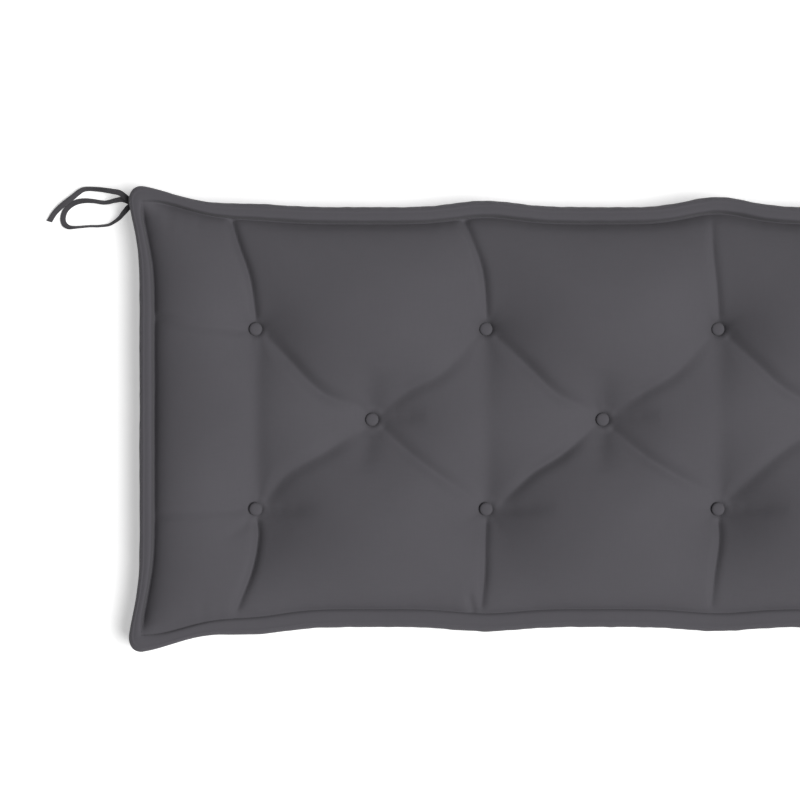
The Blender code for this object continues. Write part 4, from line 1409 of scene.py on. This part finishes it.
    def settle(self, height: np.ndarray, pull: np.ndarray, aim: np.ndarray, bend: np.ndarray,
               step_x: float, step_y: float) -> np.ndarray:
        """Find the height at which cloth settles inside a fixed edge.

        Args:
            height: The height to start from; its edge rows stay as they are.
            pull: How firmly each point is drawn to its aim.
            aim: The height that each point is drawn to.
            bend: How sharply the cloth is bent down at each point.
            step_x: Distance between two columns.
            step_y: Distance between two rows.

        Returns:
            The settled height.
        """
        rows, columns = np.indices(height.shape)
        sides = 1.0 / step_x ** 2
        ends = 1.0 / step_y ** 2
        divisor = 2.0 * (sides + ends) + pull
        inside = np.zeros(height.shape, dtype=bool)
        inside[1:-1, 1:-1] = True
        for _ in range(self.sweeps):
            for colour in (0, 1):
                around = np.zeros(height.shape)
                around[1:-1, 1:-1] = (sides * (height[1:-1, 2:] + height[1:-1, :-2])
                                      + ends * (height[2:, 1:-1] + height[:-2, 1:-1]))
                target = (around + pull * aim - bend) / divisor
                chosen = inside & ((rows + columns) % 2 == colour)
                height = np.where(chosen, height + self.overshoot * (target - height), height)
        return height

    def fine_relief(self, x: np.ndarray, y: np.ndarray) -> np.ndarray:
        """Work out the cover's small unevenness.

        Args:
            x: The places' x.
            y: The places' y.

        Returns:
            What is added to the height at each place: broad lumps of the filling, puckers along
            the seams and pleats round the tufts.
        """
        lumps = self.lump * self.lumps.at(x, y)
        gap_x = self.half_length - self.end.roll - np.abs(x)
        gap_y = np.where(y > 0.0, self.back_half_depth - self.back.roll - y,
                         self.front_half_depth - self.front.roll + y)
        beside_end = np.exp(-np.maximum(gap_x, 0.0) / self.pucker_reach)
        beside_side = np.exp(-np.maximum(gap_y, 0.0) / self.pucker_reach)
        puckers = self.pucker * (beside_side * self.side_puckers.at(x, self.pucker_stretch * y)
                                 + beside_end * self.end_puckers.at(self.pucker_stretch * x, y))
        pleats = np.zeros(x.shape)
        for number, (_, tuft_x, tuft_y) in enumerate(self.tufts()):
            angle = np.arctan2(y - tuft_y, x - tuft_x)
            distance = np.hypot(x - tuft_x, y - tuft_y)
            shown = eased((distance - self.seat_radius) / self.seat_radius)
            fade = shown * np.exp(-np.maximum(distance - self.seat_radius, 0.0) / self.pleat_reach)
            pleats = pleats + self.pleat * fade * waves_round(self.pleats, angle, number)
        return lumps + puckers + pleats

    def top_panel(self, u: np.ndarray, v: np.ndarray) -> np.ndarray:
        """Work out the top panel's points.

        Args:
            u: The grid points' share of the length.
            v: Their share of the depth.

        Returns:
            The points' x, y and height, stacked.
        """
        x, y = self.plan(u, v, 1.0)
        step_x = (x[0, -1] - x[0, 0]) / (x.shape[1] - 1)
        step_y = (y[-1, 0] - y[0, 0]) / (y.shape[0] - 1)
        pull = np.full(x.shape, 1.0 / self.tuft_reach ** 2)
        aim = np.full(x.shape, self.free_height)
        seats = self.to_tuft(x, y) < self.seat_radius
        pull[seats] = 1.0 / self.seat_firmness ** 2
        aim[seats] = self.seat_height + self.pit_depth
        edge = self.roll_height - self.groove_depth(u, v) - self.rim_drop(x, y) + self.wall(u, v)
        height = self.settle(edge, pull, aim, self.bend(x, y), step_x, step_y)

        inside = np.zeros(x.shape)
        inside[1:-1, 1:-1] = 1.0
        slope_y, slope_x = np.gradient(height, step_y, step_x)
        close_u, close_v = self.closer_to_rim(u, v)
        close_x, close_y = self.plan(close_u, close_v, 1.0)
        gather_x, gather_y = self.gathering(close_x, close_y)
        moved_x = close_x + inside * gather_x
        moved_y = close_y + inside * gather_y
        height = height + slope_x * (moved_x - x) + slope_y * (moved_y - y) - self.wall(close_u, close_v)
        off_seat = np.maximum(self.to_tuft(moved_x, moved_y) - self.seat_radius, 0.0)
        height = height - self.pit_depth * np.exp(-off_seat / self.pit_reach)
        height = height + inside * (self.fine_relief(moved_x, moved_y) - self.fold_relief(moved_x, moved_y))
        height[seats] = self.seat_height
        return np.stack([moved_x, moved_y, height])

    def under_heights(self, x: np.ndarray, y: np.ndarray, from_groove: np.ndarray) -> np.ndarray:
        """Work out the height of the bottom panel, flat but for its tufts and its stitched groove.

        Args:
            x: The grid points' x.
            y: The grid points' y.
            from_groove: Their distance from the stitched groove.

        Returns:
            The height at every grid point.
        """
        height = self.under_groove_depth * np.clip(1.0 - from_groove / self.under_groove_width, 0.0, 1.0) ** 2
        for number, (_, tuft_x, tuft_y) in enumerate(self.tufts()):
            distance = np.hypot(x - tuft_x, y - tuft_y)
            angle = np.arctan2(y - tuft_y, x - tuft_x)
            drawn = np.clip(1.0 - distance / self.under_tuft_radius, 0.0, 1.0)
            pleats = np.where(drawn < self.under_plain, waves_round(self.under_pleats, angle, number), 0.0)
            height = height + self.under_tuft_depth * drawn ** 2 * (1.0 + pleats)
        return height



@dataclass
class Cover:
    """The stuffed cover as one closed body: top panel, rolls, side strip and bottom panel."""

    form: PadForm
    cloth: bpy.types.Material
    sewing: StitchMaker
    cell: float = 0.0027              # of the top panel's grid; the bottom panel's is twice that
    # The upper roll in section, from its groove over its flat top to where it meets the side
    # strip: insets in roll widths, and heights as shares of the groove's depth on the inner part
    # and of the roll's radius on the outer part.
    inner_roll: tuple[tuple[float, float], ...] = (
        (1.00, 0.00), (0.98, 0.24), (0.95, 0.48), (0.91, 0.70), (0.86, 0.87), (0.80, 0.965), (0.72, 1.00))
    outer_roll: tuple[tuple[float, float], ...] = (
        (0.60, 0.985), (0.48, 0.955), (0.40, 0.905), (0.35, 0.905), (0.30, 0.93), (0.25, 0.905),
        (0.20, 0.83), (0.145, 0.77), (0.085, 0.65), (0.035, 0.45), (0.005, 0.18), (0.010, -0.18),
        (0.080, -0.56), (0.25, -0.86))
    strip_draw: float = 0.62          # how far the side strip is drawn in, in roll widths
    strip_steps: int = 4
    lower_angles: tuple[float, ...] = (60, 32, 4, -24, -52, -90)   # round the lower roll, in degrees
    sole_inset: float = 0.78          # of the ring between the lower roll and the bottom panel
    sole_lift: float = 0.4            # its height, against the depth of the groove beside it
    roll_ripple: float = 0.00032      # how far the cloth's ripples stand out
    strip_ripple: float = 0.0009
    ripples: Ripples = Ripples(0.014, 0.050, 17)
    ripple_drift: float = 2.0         # how fast they change with height, against along the edge
    outward: float = 0.1              # roll widths on which the way out is measured
    fill: float = 0.75
    seam_stitches: StitchSizes = StitchSizes(
        pitch=0.0036, length=0.0030, thread=0.00032, wander=0.06, seed=11)
    seam_proud: float = 0.6           # how far they stand out of the groove, in thread radii

    def build(self) -> None:
        pad = self.pad()
        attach(pad, BODY)
        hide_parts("pad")
        report(pad)
        for name, line in self.seam_lines().items():
            seam = self.sewing.sew(name, [line], self.seam_stitches)
            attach(seam, BODY)
            report(seam)

    @staticmethod
    def around(columns: int, rows: int) -> list[tuple[int, int]]:
        """Follow the edge of a grid, anticlockwise from above.

        Args:
            columns: Cells along X.
            rows: Cells along Y.

        Returns:
            The grid points on the edge, as row and column.
        """
        front = [(0, column) for column in range(columns)]
        right = [(row, columns) for row in range(rows)]
        back = [(rows, column) for column in range(columns, 0, -1)]
        left = [(row, 0) for row in range(rows, 0, -1)]
        return front + right + back + left

    def grid_size(self) -> tuple[int, int]:
        """How many cells the top panel has along X and along Y, both even."""
        return (2 * int(round(self.form.half_length / self.cell)),
                2 * int(round(0.5 * self.form.depth / self.cell)))

    def edge_shares(self) -> tuple[np.ndarray, np.ndarray]:
        """Follow the top panel's edge in shares of its size.

        Returns:
            Each edge point's share of the length and of the depth.
        """
        columns, rows = self.grid_size()
        row, column = np.array(self.around(columns, rows)).T
        return column / columns, row / rows

    def rim_profile(self) -> list[tuple[float, float, float]]:
        """Draw the pad's edge in section, from the roll's flat top out and down to the sole.

        Returns:
            For each ring, its inset in roll widths, its height and how far its ripples stand out.
        """
        form = self.form
        radius = form.roll_radius
        centre = form.roll_height - radius
        upper = [(inset, centre + radius * share, self.roll_ripple) for inset, share in self.outer_roll]
        lower = [(0.5 - 0.5 * math.cos(angle), radius + radius * math.sin(angle), self.roll_ripple)
                 for angle in map(math.radians, self.lower_angles)]
        seam_inset, strip_top, _ = upper[-1]
        strip_bottom = lower[0][1]
        strip = []
        for step in range(1, self.strip_steps):
            share = step / self.strip_steps
            drawn = math.sin(math.pi * share)
            inset = seam_inset + (self.strip_draw - seam_inset) * drawn
            strip.append((inset, strip_top + (strip_bottom - strip_top) * share, self.strip_ripple * drawn))
        sole = (self.sole_inset, self.sole_lift * form.under_groove_depth, 0.0)
        return upper + strip + lower + [sole]

    def rim_rings(self) -> list[np.ndarray]:
        """Lay the pad's edge in rings, from beside the top panel out and down to the sole.

        Returns:
            Each ring's points, one to a row.
        """
        form = self.form
        u, v = self.edge_shares()
        along = np.arange(len(u)) * self.cell
        groove = form.groove_depth(u, v)
        profile = [(inset, form.roll_height - groove * (1.0 - share), self.roll_ripple * share)
                   for inset, share in self.inner_roll[1:]]
        profile += self.rim_profile()
        rings = []
        for inset, height, ripple in profile:
            waves = ripple * self.ripples.at(along, self.ripple_drift * height)
            x, y = form.plan(u, v, inset)
            out_x, out_y = form.plan(u, v, inset - self.outward)
            out = np.hypot(out_x - x, out_y - y)
            z = height - form.rim_drop(x, y) * (height / form.roll_height) ** 2
            rings.append(np.column_stack([x + waves * (out_x - x) / out, y + waves * (out_y - y) / out,
                                          np.maximum(z, 0.0)]))
        return rings

    def pad(self) -> bpy.types.Object:
        """Build the cover's mesh.

        Returns:
            The pad.
        """
        form = self.form
        columns, rows = self.grid_size()
        u, v = np.meshgrid(np.linspace(0.0, 1.0, columns + 1), np.linspace(0.0, 1.0, rows + 1))
        top = form.top_panel(u, v)
        rim = self.rim_rings()
        under_x, under_y = (place[::2, ::2] for place in form.plan(u, v, 1.0))
        from_groove = np.minimum(*form.to_rim(u, v))[::2, ::2]
        under = np.stack([under_x, under_y, form.under_heights(under_x, under_y, from_groove)])
        points = [top.reshape(3, -1).T, *rim, under.reshape(3, -1).T]

        top_edge = [row * (columns + 1) + column for row, column in self.around(columns, rows)]
        rings = [top_edge, *rings_from(u.size, len(rim), len(top_edge))]
        under_first = u.size + len(rim) * len(top_edge)
        under_edge = [under_first + row * (columns // 2 + 1) + column
                      for row, column in self.around(columns // 2, rows // 2)]
        faces = self.panel_faces(columns, rows, 0, False)
        faces += ring_faces(rings, anticlockwise=False)
        faces += self.halving_faces(rings[-1], under_edge)
        faces += self.panel_faces(columns // 2, rows // 2, under_first, True)
        return add_piece("cushion_cover", np.vstack(points), faces, self.cloth)

    @staticmethod
    def panel_faces(columns: int, rows: int, first: int, faces_down: bool) -> list[Face]:
        """Faces of a grid.

        Args:
            columns: Cells along X.
            rows: Cells along Y.
            first: The number of the grid's first point.
            faces_down: Whether the panel is seen from below.

        Returns:
            The faces.
        """
        faces = []
        for row in range(rows):
            for column in range(columns):
                corner = first + row * (columns + 1) + column
                above = corner + columns + 1
                face = (corner, corner + 1, above + 1, above)
                faces.append(tuple(reversed(face)) if faces_down else face)
        return faces

    @staticmethod
    def halving_faces(fine: Sequence[int], coarse: Sequence[int]) -> list[Face]:
        """Faces between a ring and the next one, which has half as many points.

        Args:
            fine: The first ring's points.
            coarse: The next ring's points.

        Returns:
            The faces.
        """
        faces = []
        for place, near in enumerate(coarse):
            far = coarse[(place + 1) % len(coarse)]
            start, middle, end = (fine[(2 * place + step) % len(fine)] for step in range(3))
            faces += [(start, near, middle), (middle, near, far), (middle, far, end)]
        return faces

    def seam_lines(self) -> dict[str, np.ndarray]:
        """Lay out the stitched lines in the top and bottom grooves.

        Returns:
            Each line's points by the piece's name, the first one repeated at the end.
        """
        form = self.form
        u, v = self.edge_shares()
        x, y = form.plan(u, v, 1.0)
        proud = self.seam_proud * self.seam_stitches.thread
        top = form.roll_height - form.groove_depth(u, v) - form.rim_drop(x, y) + proud
        under = np.full(len(u), form.under_groove_depth - proud)
        lines = {}
        for name, height in (("seam_stitches_top", top), ("seam_stitches_under", under)):
            line = np.column_stack([x, y, height])
            lines[name] = np.vstack([line, line[:1]])
        return lines


# --- Buttons -----------------------------------------------------------------------------------

@dataclass
class CoveredButtons:
    """Domed buttons covered with the cover's cloth, and the thread that holds each one down."""

    form: PadForm
    cloth: bpy.types.Material
    thread: bpy.types.Material
    radius: float = 0.0070
    height: float = 0.0054
    gap: float = 0.0003               # between a button and the seat of its tuft
    sides: int = 64
    hollow: float = 0.06              # how far the foot's middle is drawn up, in button heights
    # The dome in section, in button radii and heights, from its foot to its crown.
    profile: tuple[tuple[float, float], ...] = (
        (0.44, 0.02), (0.66, 0.00), (0.82, 0.05), (0.93, 0.18), (0.99, 0.33), (1.00, 0.48), (0.98, 0.62),
        (0.92, 0.75), (0.82, 0.85), (0.68, 0.92), (0.52, 0.96), (0.34, 0.985), (0.16, 0.997))
    gather_depth: float = 0.00035     # of the cloth's gathers, where it is drawn under the button
    gather_top: float = 0.55          # where they end, in button heights
    gathers: tuple[Wave, ...] = (Wave(13.0, 1.0, 1.0), Wave(18.0, 0.5, 2.0))
    tack_half: float = 0.0042         # half the length of the thread tack under the pad
    tack_thread: float = 0.00045      # the thread's radius
    tack_strands: int = 4
    tack_spacing: float = 0.0008      # between two strands half-way along them
    tack_taper: float = 0.35          # how much closer they lie at their ends
    tack_sag: float = 0.0009          # how far they hang down half-way
    tack_turn: float = 0.35           # the most that a tack is turned off the length, in radians
    tack_turn_step: float = 2.1       # which varies that from one tack to the next
    tack_rings: int = 7
    tack_sides: int = 8

    def build(self) -> None:
        """Make every button and its tack."""
        for number, (name, x, y) in enumerate(self.form.tufts()):
            button = self.button(name, x, y, number)
            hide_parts(f"button_{name}")
            tack = self.tack(name, x, y, number)
            for piece in (button, tack):
                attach(piece, BODY)
                report(piece)

    def button(self, name: str, x: float, y: float, number: int) -> bpy.types.Object:
        """Turn one button's dome, with gathers under its rim.

        Args:
            name: The tuft's name.
            x: The tuft's x.
            y: The tuft's y.
            number: The tuft's number, which varies the gathers.

        Returns:
            The button.
        """
        base = self.form.seat_height + self.gap
        angles = math.tau * np.arange(self.sides) / self.sides
        waves = waves_round(self.gathers, angles, number)
        points = [[(x, y, base + self.hollow * self.height)]]
        for share, level in self.profile:
            depth = self.gather_depth * max(0.0, 1.0 - level / self.gather_top)
            radius = self.radius * share + depth * waves * share
            points.append(np.column_stack([x + radius * np.cos(angles), y + radius * np.sin(angles),
                                           np.full(self.sides, base + self.height * level)]))
        points.append([(x, y, base + self.height)])

        rings = rings_from(1, len(self.profile), self.sides)
        foot = rings[0]
        top = rings[-1]
        crown = top[-1] + 1
        faces = ring_faces(rings, anticlockwise=True)
        for side in range(self.sides):
            following = (side + 1) % self.sides
            faces += [(0, foot[following], foot[side]), (top[side], top[following], crown)]
        return add_piece(f"covered_button_{name}", np.vstack(points), faces, self.cloth)

    def tack(self, name: str, x: float, y: float, number: int) -> bpy.types.Object:
        """Lay the short thread strands that show under the pad where a button is tied off.

        Args:
            name: The tuft's name.
            x: The tuft's x.
            y: The tuft's y.
            number: The tuft's number, which turns the tack a little.

        Returns:
            The tack.
        """
        turn = self.tack_turn * math.sin(self.tack_turn_step * number)
        along = np.array((math.cos(turn), math.sin(turn), 0.0))
        beside = np.array((-math.sin(turn), math.cos(turn), 0.0))
        up = np.array((0.0, 0.0, 1.0))
        middle = np.array((x, y, self.form.under_tuft_depth))
        angles = math.tau * np.arange(self.tack_sides) / self.tack_sides
        section = self.tack_thread * (np.outer(np.cos(angles), beside) + np.outer(np.sin(angles), up))
        points = []
        faces = []
        for strand in range(self.tack_strands):
            offset = self.tack_spacing * (strand - 0.5 * (self.tack_strands - 1))
            rings = rings_from(len(points) * self.tack_sides, self.tack_rings, self.tack_sides)
            for share in np.linspace(-1.0, 1.0, self.tack_rings):
                sag = self.tack_sag * (1.0 - share * share)
                aside = offset * (1.0 - self.tack_taper * abs(share))
                points.append(middle + self.tack_half * share * along + aside * beside - sag * up + section)
            faces += [tuple(reversed(rings[0])), *ring_faces(rings, anticlockwise=True), tuple(rings[-1])]
        return add_piece(f"thread_tack_{name}", np.vstack(points), faces, self.thread)


# --- The cushion -------------------------------------------------------------------------------

COVER_CLOTH = ClothFinish("cover_cloth", (0.094, 0.090, 0.101))
BUTTON_CLOTH = ClothFinish("button_cloth", (0.094, 0.090, 0.101), spread=0.08)
TAPE_CLOTH = ClothFinish("tape_cloth", (0.072, 0.069, 0.076), spread=0.12, pitch=0.0005)
SEWING_THREAD = ThreadFinish("sewing_thread", (0.060, 0.058, 0.064))


def main() -> None:
    """Build the studio, then every piece of the cushion."""
    logging.basicConfig(level=logging.INFO, format="%(name)s: %(message)s")
    Studio().build()
    effects = ClothEffects()
    thread = SEWING_THREAD.material()
    sewing = StitchMaker(thread)
    CornerTies(TAPE_CLOTH.material(effects), sewing).build()
    form = PadForm()
    Cover(form, COVER_CLOTH.material(effects), sewing).build()
    CoveredButtons(form, BUTTON_CLOTH.material(effects), thread).build()


if __name__ == "__main__":
    main()
